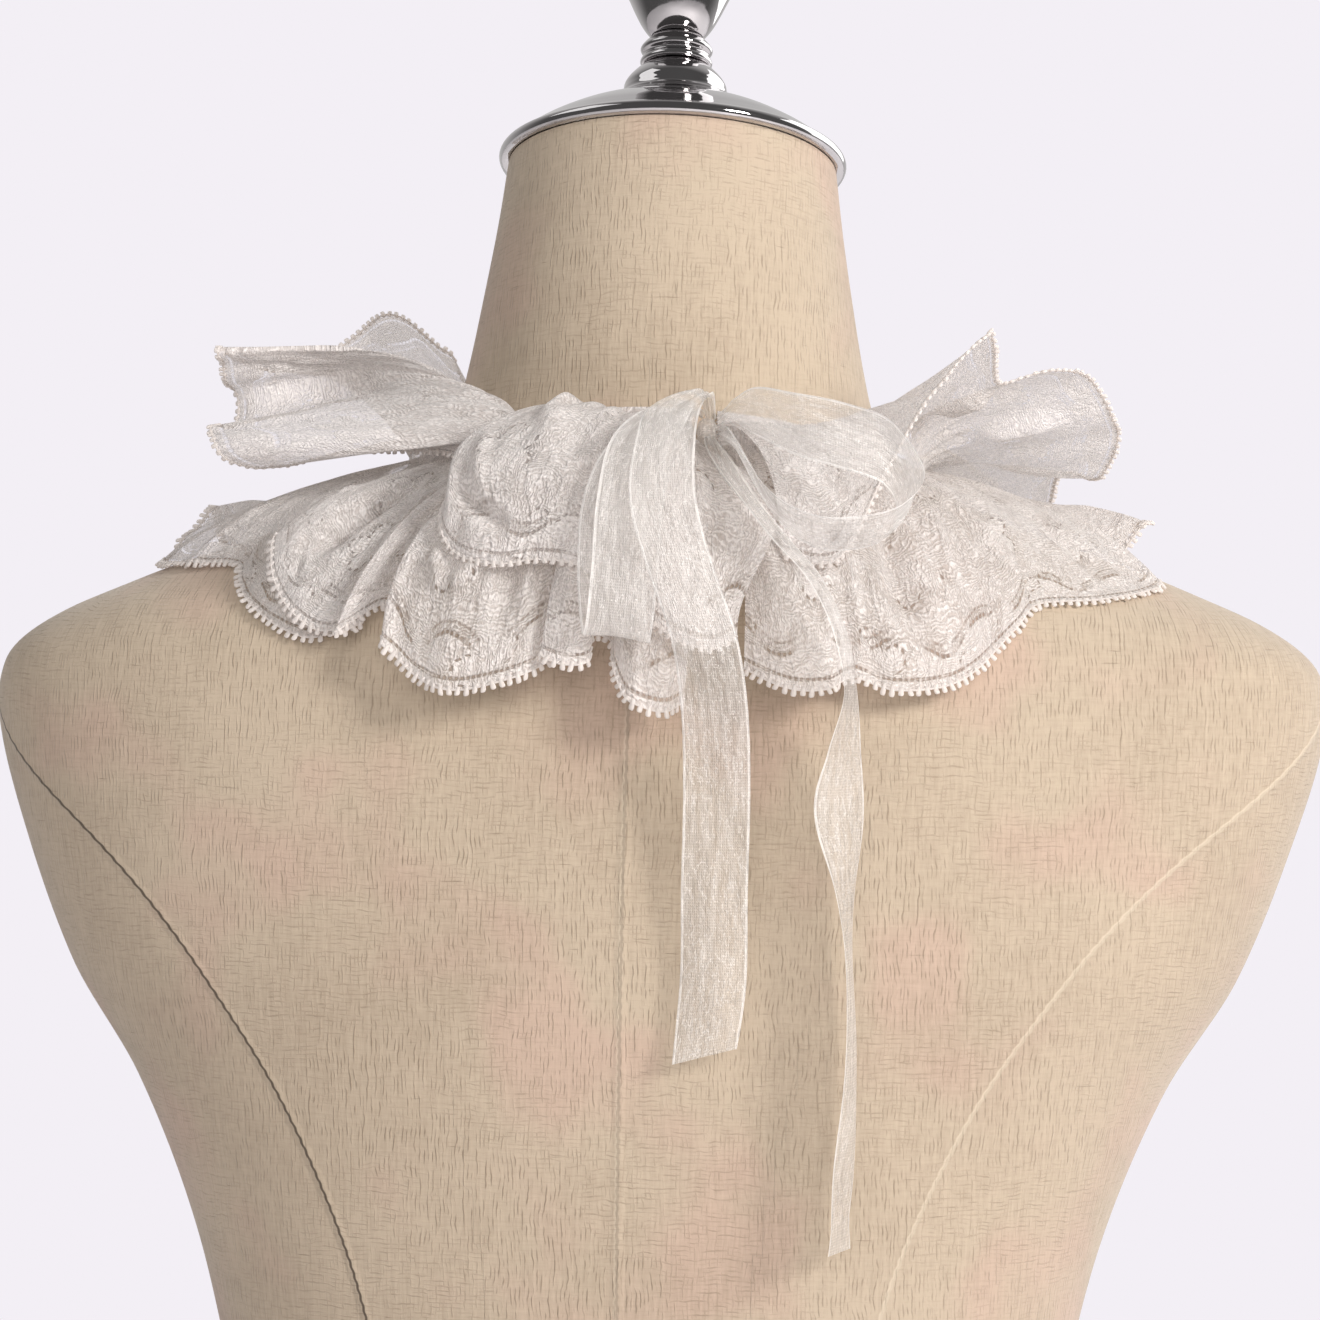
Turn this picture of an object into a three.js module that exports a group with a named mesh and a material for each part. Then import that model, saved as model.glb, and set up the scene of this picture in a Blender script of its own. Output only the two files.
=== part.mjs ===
// False collar on a dress form: two tiers of gathered lace, tied at the back with a ribbon bow,
// on a limbless linen-covered form with a metal neck cap.
// Millimetres, +Z up. The origin is the centre of the form's flat base. The form faces -Y, so its
// back is +Y and its left side is +X. Angles round the neck are degrees from the back, + to the left.
import * as THREE from "three";

// ---------- driving dimensions ----------
const CLOTH = 1.0; // wall of lace and of ribbon
const GAP = 0.3; // between pieces that meet
const FORM_CLEARANCE = 1.7; // least distance from the form to the middle of a lace wall
const NECK_AXIS_Y = -18; // the neck stands in front of the shoulders' mid line
const NECKLINE_MID = 631.5; // height of the neckline at the sides of the neck
const NECKLINE_SLOPE = 11; // how far it is above that at the back and below it in front
const OPENING_AT = -16; // where the collar ties, just to the right of the centre back
const OPENING_HALF = 3.5;
const BAND_HEIGHT = 9;
const BAND_STAND_OFF = 1.9; // from the form to the middle of the band's wall
const ROOT_STAND_OFF = 3.5; // from the form to the middle of the ruffles' walls at their roots
const UPPER_ROOT_BELOW = 1.5;
const LOWER_ROOT_BELOW = 6;
const RIBBON_WIDTH = 19;
const KNOT = { at: -16, width: 6.6, depth: 6.4, height: 8 };
const CAP_LEAN = 12.5; // the neck leans forward, in degrees
const BAND_COLUMNS = 48;
const BAND_STEPS = 4;
const COLUMNS_PER_FOLD = 2;
const RUFFLE_STEPS = 7;
const BAND_SHARE = 3; // the band lies under the first third of a ruffle at most
const STEPS_PER_RIBBON_ROW = 2;
const FORM_SIDES = 44;
const WIDE_SPACING = 8.2; // sections of the form further apart than this get a ring between them

// ---------- materials ----------
const lace = new THREE.MeshStandardMaterial({ color: 0xe9e2df, roughness: 0.85, metalness: 0 });
const organza = new THREE.MeshStandardMaterial({ color: 0xe6e0d8, roughness: 0.45, metalness: 0 });
const linen = new THREE.MeshStandardMaterial({ color: 0xd8c8a8, roughness: 0.9, metalness: 0 });
const chrome = new THREE.MeshStandardMaterial({ color: 0xc8c8cc, roughness: 0.15, metalness: 1 });

const object = new THREE.Group();

// ---------- general helpers ----------
const radians = THREE.MathUtils.degToRad;
const mix = THREE.MathUtils.lerp;

/** Catmull-Rom value at t from 0 to 1 between b and c. */
function between(a, b, c, d, t) {
  const rise = (c - a) / 2;
  const fall = (d - b) / 2;
  return b + t * (rise + t * (3 * (c - b) - 2 * rise - fall + t * (2 * (b - c) + rise + fall)));
}

/** A table's row at a fractional row number, each column on a smooth curve. */
function rowAt(table, at) {
  const last = table.length - 1;
  const i = Math.min(Math.floor(at), last - 1);
  const pick = (k) => table[THREE.MathUtils.clamp(k, 0, last)];
  const row = {};
  for (const name of Object.keys(table[0])) {
    row[name] = between(pick(i - 1)[name], pick(i)[name], pick(i + 1)[name], pick(i + 2)[name], at - i);
  }
  return row;
}

/** A named mesh of a closed body, turned right side out, added to the object. */
function addBody(name, points, triangles, material) {
  let volume = 0;
  for (const [a, b, c] of triangles) {
    volume += points[a].dot(new THREE.Vector3().crossVectors(points[b], points[c]));
  }
  const faces = volume < 0 ? triangles.map(([a, b, c]) => [a, c, b]) : triangles;
  const geometry = new THREE.BufferGeometry();
  geometry.setAttribute("position", new THREE.Float32BufferAttribute(points.flatMap((p) => p.toArray()), 3));
  geometry.setIndex(faces.flat());
  const mesh = new THREE.Mesh(geometry, material);
  mesh.name = name;
  object.add(mesh);
}

/** The two triangles of each cell of a grid of point numbers. */
function cells(grid) {
  const found = [];
  for (let i = 0; i + 1 < grid.length; i++) {
    for (let j = 0; j + 1 < grid[i].length; j++) {
      found.push([grid[i][j], grid[i + 1][j], grid[i + 1][j + 1]]);
      found.push([grid[i][j], grid[i + 1][j + 1], grid[i][j + 1]]);
    }
  }
  return found;
}

/** A cloth wall of even thickness about a grid of points, with its four edges closed. */
function addWall(name, grid, thickness, material) {
  const columns = grid.length;
  const steps = grid[0].length;
  const point = (i, j) =>
    grid[THREE.MathUtils.clamp(i, 0, columns - 1)][THREE.MathUtils.clamp(j, 0, steps - 1)];
  const points = [];
  const sides = [0.5, -0.5].map((side) =>
    grid.map((line, i) =>
      line.map((p, j) => {
        const along = new THREE.Vector3().subVectors(point(i + 1, j), point(i - 1, j));
        const across = new THREE.Vector3().subVectors(point(i, j + 1), point(i, j - 1));
        const normal = along.cross(across).normalize();
        points.push(p.clone().addScaledVector(normal, side * thickness));
        return points.length - 1;
      }),
    ),
  );
  const [front, back] = sides;
  const rim = [
    ...front.map((line) => line[0]),
    ...front[columns - 1].slice(1),
    ...front.map((line) => line[steps - 1]).reverse().slice(1),
    ...front[0].slice(1, -1).reverse(),
  ];
  rim.push(rim[0]);
  const shift = columns * steps;
  const edge = cells([rim.map((k) => k + shift), rim]);
  const triangles = [...cells(front).map(([a, b, c]) => [a, c, b]), ...cells(back), ...edge];
  addBody(name, points, triangles, material);
}

// ---------- dress form ----------
// Horizontal sections: half width, the back and front surfaces on the centre line, the line where
// the section is widest, how square it is (2 is an ellipse) and how far it leans forward (degrees).
const FORM_SECTIONS = [
  { z: 0, half: 144, back: 100, front: -88, mid: 4, square: 2.3, lean: 0 },
  { z: 5, half: 149, back: 105, front: -92, mid: 4, square: 2.3, lean: 0 },
  { z: 60, half: 158, back: 114, front: -98, mid: 5, square: 2.3, lean: 0 },
  { z: 115, half: 150, back: 109, front: -96, mid: 5, square: 2.3, lean: 0 },
  { z: 175, half: 127, back: 93, front: -91, mid: 4, square: 2.25, lean: 0 },
  { z: 240, half: 110, back: 80, front: -87, mid: 2, square: 2.2, lean: 0 },
  { z: 305, half: 118, back: 82, front: -99, mid: 0, square: 2.25, lean: 0 },
  { z: 350, half: 127, back: 88, front: -114, mid: 0, square: 2.3, lean: 0 },
  { z: 398, half: 139, back: 92, front: -120, mid: 0, square: 2.35, lean: 0 },
  { z: 442, half: 157, back: 93, front: -113, mid: 0, square: 2.4, lean: 0 },
  { z: 476, half: 178, back: 92.5, front: -103, mid: 0, square: 2.4, lean: 0 },
  { z: 523, half: 196, back: 88, front: -88, mid: 0, square: 2.4, lean: 0 },
  { z: 552, half: 203.5, back: 82, front: -80, mid: 0, square: 2.3, lean: 0 },
  { z: 567, half: 202, back: 78, front: -77, mid: 0, square: 2.25, lean: 0 },
  { z: 575, half: 196, back: 75.5, front: -76, mid: 0, square: 2.2, lean: 0 },
  { z: 583.5, half: 183, back: 72.5, front: -75, mid: -2, square: 2.15, lean: 0 },
  { z: 591.5, half: 165, back: 69, front: -75, mid: -4, square: 2.1, lean: 0 },
  { z: 598, half: 149, back: 66, front: -75, mid: -6, square: 2.1, lean: 0 },
  { z: 607, half: 123, back: 61, front: -76, mid: -9, square: 2.1, lean: 0 },
  { z: 617, half: 98, back: 55, front: -77, mid: -12, square: 2.05, lean: 0 },
  { z: 627, half: 80, back: 49.5, front: -78, mid: -15, square: 2, lean: 0 },
  { z: 636, half: 70, back: 45, front: -79, mid: -17, square: 2, lean: 1 },
  { z: 646, half: 65, back: 42, front: -80, mid: -19, square: 2, lean: 3 },
  { z: 660, half: 61.5, back: 39, front: -81, mid: -21, square: 2, lean: 6 },
  { z: 682, half: 57.5, back: 33, front: -82, mid: -24.5, square: 2, lean: 9 },
  { z: 704, half: 54, back: 25.5, front: -82, mid: -28.2, square: 2, lean: 10 },
  { z: 723.5, half: 51.5, back: 20, front: -82.5, mid: -31.3, square: 2, lean: 12.5 },
];
const FORM_TOP = FORM_SECTIONS[FORM_SECTIONS.length - 1];

/** The form's section at a height, by smooth curves through the table. */
function sectionAt(z) {
  const last = FORM_SECTIONS.length - 1;
  let i = 0;
  while (i < last - 1 && FORM_SECTIONS[i + 1].z <= z) i++;
  const low = FORM_SECTIONS[i];
  const high = FORM_SECTIONS[i + 1];
  const under = FORM_SECTIONS[Math.max(i - 1, 0)];
  const over = FORM_SECTIONS[Math.min(i + 2, last)];
  const span = high.z - low.z;
  const t = THREE.MathUtils.clamp((z - low.z) / span, 0, 1);
  const section = { z };
  for (const name of ["half", "back", "front", "mid", "square", "lean"]) {
    const slopeLow = ((high[name] - under[name]) / (high.z - under.z)) * span;
    const slopeHigh = ((over[name] - low[name]) / (over.z - low.z)) * span;
    const bend = 3 * (high[name] - low[name]) - 2 * slopeLow - slopeHigh;
    const twist = 2 * (low[name] - high[name]) + slopeLow + slopeHigh;
    section[name] = low[name] + t * (slopeLow + t * (bend + t * twist));
  }
  return section;
}

/** Distance from a section's mid point to its outline, at an angle round the neck. */
function sectionRadius(section, degrees) {
  const sideways = Math.abs(Math.sin(radians(degrees))) / section.half;
  const backwards = Math.cos(radians(degrees));
  const depth = backwards > 0 ? section.back - section.mid : section.mid - section.front;
  const square = section.square;
  return (sideways ** square + (Math.abs(backwards) / depth) ** square) ** (-1 / square);
}

/** A point on the form's surface, or stand off it, at a height and an angle round it. */
function onForm(z, degrees, standOff = 0) {
  const section = sectionAt(z);
  const radius = sectionRadius(section, degrees) + standOff;
  const x = radius * Math.sin(radians(degrees));
  const y = radius * Math.cos(radians(degrees));
  return new THREE.Vector3(x, section.mid + y, z + y * Math.tan(radians(section.lean)));
}

/** How far outside the form a point is, as a share of its section's size there. */
function outsideForm(p) {
  let level = p.z;
  for (let k = 0; k < 4; k++) {
    const section = sectionAt(level);
    level = p.z - (p.y - section.mid) * Math.tan(radians(section.lean));
  }
  const section = sectionAt(level);
  const y = p.y - section.mid;
  const degrees = THREE.MathUtils.radToDeg(Math.atan2(p.x, y));
  return Math.hypot(p.x, y) / sectionRadius(section, degrees) - 1;
}

/** Moves a point out of the form, square to its surface, until it is clear of it. */
function clearOfForm(p, clearance) {
  const step = 0.5;
  for (let k = 0; k < 6; k++) {
    const here = outsideForm(p);
    const slope = new THREE.Vector3();
    for (const axis of ["x", "y", "z"]) {
      const beside = p.clone();
      beside[axis] += step;
      slope[axis] = (outsideForm(beside) - here) / step;
    }
    const missing = clearance - here / slope.length();
    if (missing <= 0) break;
    p.addScaledVector(slope.normalize(), missing);
  }
  return p;
}

function addDressForm() {
  const heights = FORM_SECTIONS.flatMap(({ z }, i) => {
    const next = FORM_SECTIONS[i + 1]?.z ?? z;
    return next - z > WIDE_SPACING ? [z, (z + next) / 2] : [z];
  });
  const points = [];
  const rings = [];
  for (const z of heights) {
    const ring = [];
    for (let s = 0; s < FORM_SIDES; s++) {
      ring.push(points.length);
      points.push(onForm(z, (360 * s) / FORM_SIDES));
    }
    rings.push([...ring, ring[0]]);
  }
  const caps = [rings[0], rings[rings.length - 1]].flatMap((ring, top) =>
    ring.slice(1, -2).map((k, n) => (top ? [ring[0], ring[n + 2], k] : [ring[0], k, ring[n + 2]])),
  );
  addBody("dress_form", points, [...cells(rings), ...caps], linen);
}

// ---------- neck cap ----------
// Half outlines, radius and height above the linen's top. Each starts and ends on the axis.
const CAP_OUTLINE = [
  [0, 0], [52.6, 0], [54, 0.7], [54.6, 2.2], [54, 3.7], [52.3, 4.7], [49, 7], [44, 10.4], [36, 14.8],
  [27, 18.6], [21, 21.2], [17.2, 23.8], [16.4, 26], [16, 28], [14.9, 29.9], [13, 32], [11.2, 33.7],
  [10.6, 34.2], [0, 34.2],
];
const STEM_OUTLINE = [
  [0, 0], [10.2, 0], [11.1, 0.5], [11.4, 1.3], [11, 2.3], [10.3, 3], [10.3, 3.7], [11.1, 4.6],
  [11.4, 5.5], [10.9, 6.5], [9.8, 7.8], [8.6, 9], [8.2, 9.6], [0, 9.6],
];
const FINIAL_OUTLINE = [
  [0, 0], [8.2, 0], [9.8, 1.6], [11.6, 4.2], [13.3, 7.4], [14.9, 10.8], [17, 15.6], [18.6, 21.4],
  [19, 27], [17.9, 32.6], [14.9, 37.4], [10.2, 41.2], [5.2, 43.2], [0, 43.8],
];

function addTurned(name, outline, height, sides, group) {
  const turned = new THREE.LatheGeometry(outline.map(([r, h]) => new THREE.Vector2(r, h)), sides);
  turned.rotateX(Math.PI / 2); // the lathe turns about Y; the cap's axis is Z
  const mesh = new THREE.Mesh(turned, chrome);
  mesh.name = name;
  mesh.position.z = height;
  group.add(mesh);
}

function addNeckCap() {
  const group = new THREE.Group();
  group.position.set(0, FORM_TOP.mid, FORM_TOP.z);
  group.rotation.x = radians(CAP_LEAN);
  object.add(group);
  let height = GAP;
  for (const [name, outline, sides] of [
    ["neck_cap", CAP_OUTLINE, 36],
    ["cap_stem", STEM_OUTLINE, 18],
    ["finial", FINIAL_OUTLINE, 22],
  ]) {
    addTurned(name, outline, height, sides, group);
    height += outline[outline.length - 1][1] + GAP;
  }
}

// ---------- collar ----------
/** Height of the neckline, which slopes down to the front. */
const neckline = (degrees) => NECKLINE_MID + NECKLINE_SLOPE * Math.cos(radians(degrees));

/** A point at an angle round the neck's axis, a distance from it and a height. */
function roundNeck(degrees, radius, z) {
  const angle = radians(degrees);
  return new THREE.Vector3(radius * Math.sin(angle), NECK_AXIS_Y + radius * Math.cos(angle), z);
}

/** The distance from the neck's axis at which a point stands off the form's neck. */
function neckRadius(degrees, z, standOff) {
  const p = onForm(z, degrees, standOff);
  return Math.hypot(p.x, p.y - NECK_AXIS_Y);
}

function addNeckband() {
  const grid = [];
  for (let i = 0; i <= BAND_COLUMNS; i++) {
    const at = mix(OPENING_AT + OPENING_HALF, OPENING_AT - OPENING_HALF + 360, i / BAND_COLUMNS);
    const line = [];
    for (let j = 0; j <= BAND_STEPS; j++) {
      line.push(onForm(neckline(at) - (BAND_HEIGHT * j) / BAND_STEPS, at, BAND_STAND_OFF));
    }
    grid.push(line);
  }
  addWall("neckband", grid, CLOTH, lace);
}

// A row is a fold line of the lace, from its root in the neckline to its free edge. "at" is its root
// and "to" its edge, as angles round the neck; "out" is the edge's distance from the neck's axis;
// "up" is its height above the neckline there; "hang" is 0 where the fold runs straight and 1 where
// it goes out first and then down; "arch" is how far it springs up a quarter of the way out, and
// "bend" how many degrees it swings round the neck halfway.
const UPPER_FOLDS = [
  { at: -12.5, to: -15.5, out: 122, up: -65, hang: 0.9, arch: -6, bend: -9 },
  { at: -9.5, to: -12, out: 122, up: -69, hang: 0.9, arch: -4, bend: -6 },
  { at: -6, to: -7, out: 120, up: -66, hang: 1, arch: -2, bend: -2 },
  { at: -3, to: -1, out: 117, up: -57, hang: 1, arch: 1, bend: 0 },
  { at: 0, to: 3.5, out: 115, up: -49, hang: 1, arch: 2, bend: 0 },
  { at: 3.5, to: 8, out: 115, up: -45, hang: 1, arch: 3, bend: 0 },
  { at: 7, to: 13, out: 116, up: -44, hang: 1, arch: 5, bend: 1 },
  { at: 10.5, to: 19, out: 117, up: -45, hang: 1, arch: 6, bend: 3 },
  { at: 14, to: 26, out: 116, up: -41, hang: 1, arch: 6, bend: 5 },
  { at: 17.5, to: 30, out: 112, up: -31, hang: 1, arch: 5, bend: 6 },
  { at: 19.5, to: 35, out: 93, up: -15, hang: 0.6, arch: 4, bend: 3 },
  { at: 22, to: 46, out: 85, up: -8, hang: 0.2, arch: 3, bend: 0 },
  { at: 24.5, to: 64, out: 104, up: -5, hang: 0, arch: 2, bend: 0 },
  { at: 27, to: 65, out: 130, up: -10, hang: 0, arch: -2, bend: 0 },
  { at: 30, to: 67, out: 143, up: 0, hang: 0, arch: 3, bend: 6 },
  { at: 36, to: 76, out: 137, up: 8, hang: 0, arch: 12, bend: 12 },
  { at: 44, to: 80, out: 135, up: 16, hang: 0, arch: 15, bend: 13 },
  { at: 53, to: 73, out: 138, up: 23, hang: 0, arch: 19, bend: 9 },
  { at: 64, to: 71, out: 139, up: 27, hang: 0, arch: 19, bend: 4 },
  { at: 77, to: 82, out: 124, up: 25, hang: 0, arch: 17, bend: 0 },
  { at: 91, to: 99, out: 116, up: 34, hang: 0, arch: 6, bend: 0 },
  { at: 104, to: 105, out: 107, up: 43, hang: 0, arch: 3, bend: 0 },
  { at: 116, to: 113, out: 102, up: 53, hang: 0, arch: 2, bend: 0 },
  { at: 127, to: 121, out: 95, up: 47, hang: 0, arch: 3, bend: 0 },
  { at: 136, to: 131, out: 94, up: 32, hang: 0, arch: 4, bend: 0 },
  { at: 144, to: 146, out: 118, up: 0, hang: 0.4, arch: 6, bend: 0 },
  { at: 151, to: 153, out: 128, up: -14, hang: 0.8, arch: 6, bend: 0 },
  { at: 161, to: 162, out: 112, up: 6, hang: 0.2, arch: 6, bend: 0 },
  { at: 171, to: 172, out: 126, up: -18, hang: 0.8, arch: 6, bend: 0 },
  { at: 181, to: 181, out: 110, up: 4, hang: 0.2, arch: 6, bend: 0 },
  { at: 192, to: 190, out: 126, up: -20, hang: 0.8, arch: 6, bend: 0 },
  { at: 203, to: 202, out: 112, up: 8, hang: 0.2, arch: 6, bend: 0 },
  { at: 214, to: 213, out: 128, up: -12, hang: 0.7, arch: 6, bend: 0 },
  { at: 225, to: 226, out: 116, up: 16, hang: 0.1, arch: 6, bend: 0 },
  { at: 236, to: 240, out: 132, up: -8, hang: 0.5, arch: 6, bend: 0 },
  { at: 247, to: 253, out: 128, up: 2, hang: 0.3, arch: 6, bend: 0 },
  { at: 257, to: 263, out: 135, up: -1, hang: 0.2, arch: 6, bend: 0 },
  { at: 266, to: 272, out: 140, up: 8, hang: 0, arch: 6, bend: 0 },
  { at: 274, to: 279, out: 134, up: 23, hang: 0, arch: 8, bend: 0 },
  { at: 282, to: 286, out: 124, up: 24, hang: 0, arch: 9, bend: 0 },
  { at: 290, to: 292, out: 112, up: 19, hang: 0, arch: 5, bend: 0 },
  { at: 299, to: 305, out: 123, up: 28, hang: 0, arch: 4, bend: 0 },
  { at: 308, to: 314, out: 116, up: 6, hang: 0.2, arch: 6, bend: 0 },
  { at: 316, to: 319, out: 112, up: -12, hang: 0.6, arch: 4, bend: 0 },
  { at: 323, to: 324, out: 112, up: -30, hang: 0.9, arch: 2, bend: 0 },
  { at: 330, to: 329, out: 117, up: -41, hang: 1, arch: 1, bend: 0 },
  { at: 336, to: 333, out: 116, up: -43, hang: 1, arch: 1, bend: 0 },
  { at: 340.5, to: 337, out: 113, up: -41, hang: 1, arch: 0, bend: -1 },
];
const LOWER_FOLDS = [
  { at: -12.5, to: -9, out: 112, up: -84, hang: 0.8, arch: -3, bend: 0 },
  { at: -9.5, to: -6, out: 118, up: -87, hang: 0.8, arch: -3, bend: 0 },
  { at: -7, to: -3, out: 119, up: -86, hang: 0.8, arch: -2, bend: 0 },
  { at: -5, to: -0.5, out: 118, up: -83, hang: 0.8, arch: 0, bend: 0 },
  { at: -3, to: 1.5, out: 114, up: -75, hang: 0.8, arch: 0, bend: 0 },
  { at: -1, to: 2.5, out: 108, up: -67, hang: 0.8, arch: 0, bend: 0 },
  { at: 1, to: 5, out: 110, up: -66, hang: 0.8, arch: 0, bend: 0 },
  { at: 3, to: 5, out: 117, up: -73, hang: 0.8, arch: 0, bend: 0 },
  { at: 5, to: 8, out: 120, up: -74, hang: 0.8, arch: 0, bend: 0 },
  { at: 7.5, to: 11.5, out: 119, up: -71, hang: 0.8, arch: 0, bend: 0 },
  { at: 9.5, to: 9.5, out: 110, up: -69, hang: 0.8, arch: 0, bend: 0 },
  { at: 12, to: 11, out: 114, up: -73, hang: 0.8, arch: 0, bend: 0 },
  { at: 15.5, to: 15.5, out: 121, up: -78, hang: 0.8, arch: 0, bend: 0 },
  { at: 20.5, to: 23, out: 126, up: -81, hang: 0.8, arch: 0, bend: 0 },
  { at: 25, to: 29, out: 126, up: -76, hang: 0.8, arch: -3, bend: 0 },
  { at: 28, to: 34, out: 124, up: -66, hang: 0.8, arch: -4, bend: 0 },
  { at: 31, to: 38.5, out: 117, up: -55, hang: 0.7, arch: -6, bend: 0 },
  { at: 34, to: 41.5, out: 130, up: -63, hang: 0.7, arch: -3, bend: 0 },
  { at: 36, to: 40.5, out: 121, up: -60, hang: 0.7, arch: -5, bend: 0 },
  { at: 38.5, to: 45, out: 129, up: -62, hang: 0.7, arch: -4, bend: 0 },
  { at: 41, to: 48.5, out: 133, up: -57, hang: 0.7, arch: -4, bend: 0 },
  { at: 43.5, to: 51.5, out: 135, up: -49, hang: 0.7, arch: -4, bend: 0 },
  { at: 46, to: 53.5, out: 135, up: -40, hang: 0.7, arch: -3, bend: 0 },
  { at: 48.5, to: 55, out: 131, up: -32, hang: 0.6, arch: -3, bend: 0 },
  { at: 51, to: 52, out: 122, up: -42, hang: 0.6, arch: -3, bend: 0 },
  { at: 53.5, to: 46, out: 120, up: -60, hang: 0.7, arch: -2, bend: 0 },
  { at: 56, to: 49, out: 125, up: -66, hang: 0.7, arch: -2, bend: 0 },
  { at: 59, to: 55.5, out: 132, up: -60, hang: 0.7, arch: -1, bend: 0 },
  { at: 62, to: 60.5, out: 136, up: -51, hang: 0.7, arch: 0, bend: 0 },
  { at: 65, to: 64, out: 136, up: -40, hang: 0.6, arch: 0, bend: 0 },
  { at: 70, to: 71, out: 146, up: -38, hang: 0.6, arch: 0, bend: 0 },
  { at: 76, to: 79, out: 155, up: -36, hang: 0.5, arch: 0, bend: 0 },
  { at: 82, to: 84, out: 151, up: -31, hang: 0.4, arch: 0, bend: 0 },
  { at: 88, to: 88, out: 147, up: -23, hang: 0.2, arch: 0, bend: 0 },
  { at: 96, to: 93, out: 143, up: -15, hang: 0.1, arch: 0, bend: 0 },
  { at: 104, to: 103, out: 146, up: -26, hang: 0.4, arch: 0, bend: 0 },
  { at: 113, to: 114, out: 132, up: -28, hang: 0.5, arch: 0, bend: 0 },
  { at: 123, to: 126, out: 142, up: -50, hang: 0.8, arch: 0, bend: 0 },
  { at: 133, to: 137, out: 124, up: -44, hang: 0.6, arch: 0, bend: 0 },
  { at: 144, to: 148, out: 132, up: -66, hang: 0.8, arch: 0, bend: 0 },
  { at: 155, to: 157, out: 110, up: -56, hang: 0.6, arch: 0, bend: 0 },
  { at: 167, to: 168, out: 122, up: -75, hang: 0.8, arch: 0, bend: 0 },
  { at: 179, to: 180, out: 106, up: -60, hang: 0.6, arch: 0, bend: 0 },
  { at: 190, to: 190, out: 122, up: -77, hang: 0.8, arch: 0, bend: 0 },
  { at: 200, to: 199, out: 108, up: -58, hang: 0.6, arch: 0, bend: 0 },
  { at: 211, to: 209, out: 132, up: -70, hang: 0.8, arch: 0, bend: 0 },
  { at: 221, to: 219, out: 122, up: -48, hang: 0.6, arch: 0, bend: 0 },
  { at: 231, to: 230, out: 142, up: -56, hang: 0.8, arch: 0, bend: 0 },
  { at: 241, to: 241, out: 134, up: -34, hang: 0.5, arch: 0, bend: 0 },
  { at: 251, to: 252, out: 148, up: -32, hang: 0.5, arch: 0, bend: 0 },
  { at: 260, to: 261, out: 144, up: -19, hang: 0.3, arch: 0, bend: 0 },
  { at: 268, to: 274, out: 150, up: -18, hang: 0.2, arch: 0, bend: 0 },
  { at: 276, to: 280, out: 144, up: -31, hang: 0.3, arch: -1, bend: 0 },
  { at: 283, to: 285, out: 157, up: -41, hang: 0.5, arch: 1, bend: 0 },
  { at: 290, to: 294, out: 150, up: -48, hang: 0.7, arch: 0, bend: 0 },
  { at: 297, to: 302, out: 138, up: -50, hang: 0.8, arch: -2, bend: 0 },
  { at: 303, to: 307, out: 138, up: -58, hang: 0.8, arch: 1, bend: 0 },
  { at: 309, to: 313, out: 137, up: -70, hang: 0.7, arch: 1, bend: 0 },
  { at: 315, to: 318, out: 136, up: -76, hang: 0.7, arch: 1, bend: 0 },
  { at: 321, to: 324, out: 131, up: -78, hang: 0.7, arch: 1, bend: 0 },
  { at: 326, to: 328, out: 122, up: -75, hang: 0.8, arch: -2, bend: 0 },
  { at: 331, to: 333, out: 126, up: -79, hang: 0.8, arch: -1, bend: 0 },
  { at: 335.5, to: 338, out: 124, up: -79, hang: 0.8, arch: -2, bend: 0 },
  { at: 340.5, to: 343, out: 116, up: -74, hang: 0.8, arch: -3, bend: 0 },
];

/** A point of a fold, from 0 at its root to 1 at its free edge. */
function foldPoint(fold, v, rootBelow) {
  const outFirst = Math.sin((v * Math.PI) / 2);
  const downLast = 1 - Math.cos((v * Math.PI) / 2);
  const rootZ = neckline(fold.at) - rootBelow;
  const rootRadius = neckRadius(fold.at, rootZ, ROOT_STAND_OFF);
  const edgeZ = neckline(fold.to) + fold.up;
  const radius = mix(rootRadius, fold.out, mix(v, outFirst, fold.hang));
  const z = mix(rootZ, edgeZ, mix(v, downLast, fold.hang)) + fold.arch * Math.sin(Math.PI * Math.sqrt(v));
  return roundNeck(mix(fold.at, fold.to, v) + fold.bend * Math.sin(Math.PI * v) ** 2, radius, z);
}

function addRuffle(name, folds, rootBelow) {
  const columns = (folds.length - 1) * COLUMNS_PER_FOLD;
  const grid = [];
  for (let i = 0; i <= columns; i++) {
    const fold = rowAt(folds, i / COLUMNS_PER_FOLD);
    const line = [];
    for (let j = 0; j <= RUFFLE_STEPS; j++) {
      const v = j / RUFFLE_STEPS;
      const overBand = Math.max(0, 1 - BAND_SHARE * v);
      const clearance = mix(FORM_CLEARANCE, ROOT_STAND_OFF, overBand);
      line.push(clearOfForm(foldPoint(fold, v, rootBelow), clearance));
    }
    grid.push(line);
  }
  addWall(name, grid, CLOTH, lace);
}

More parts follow.
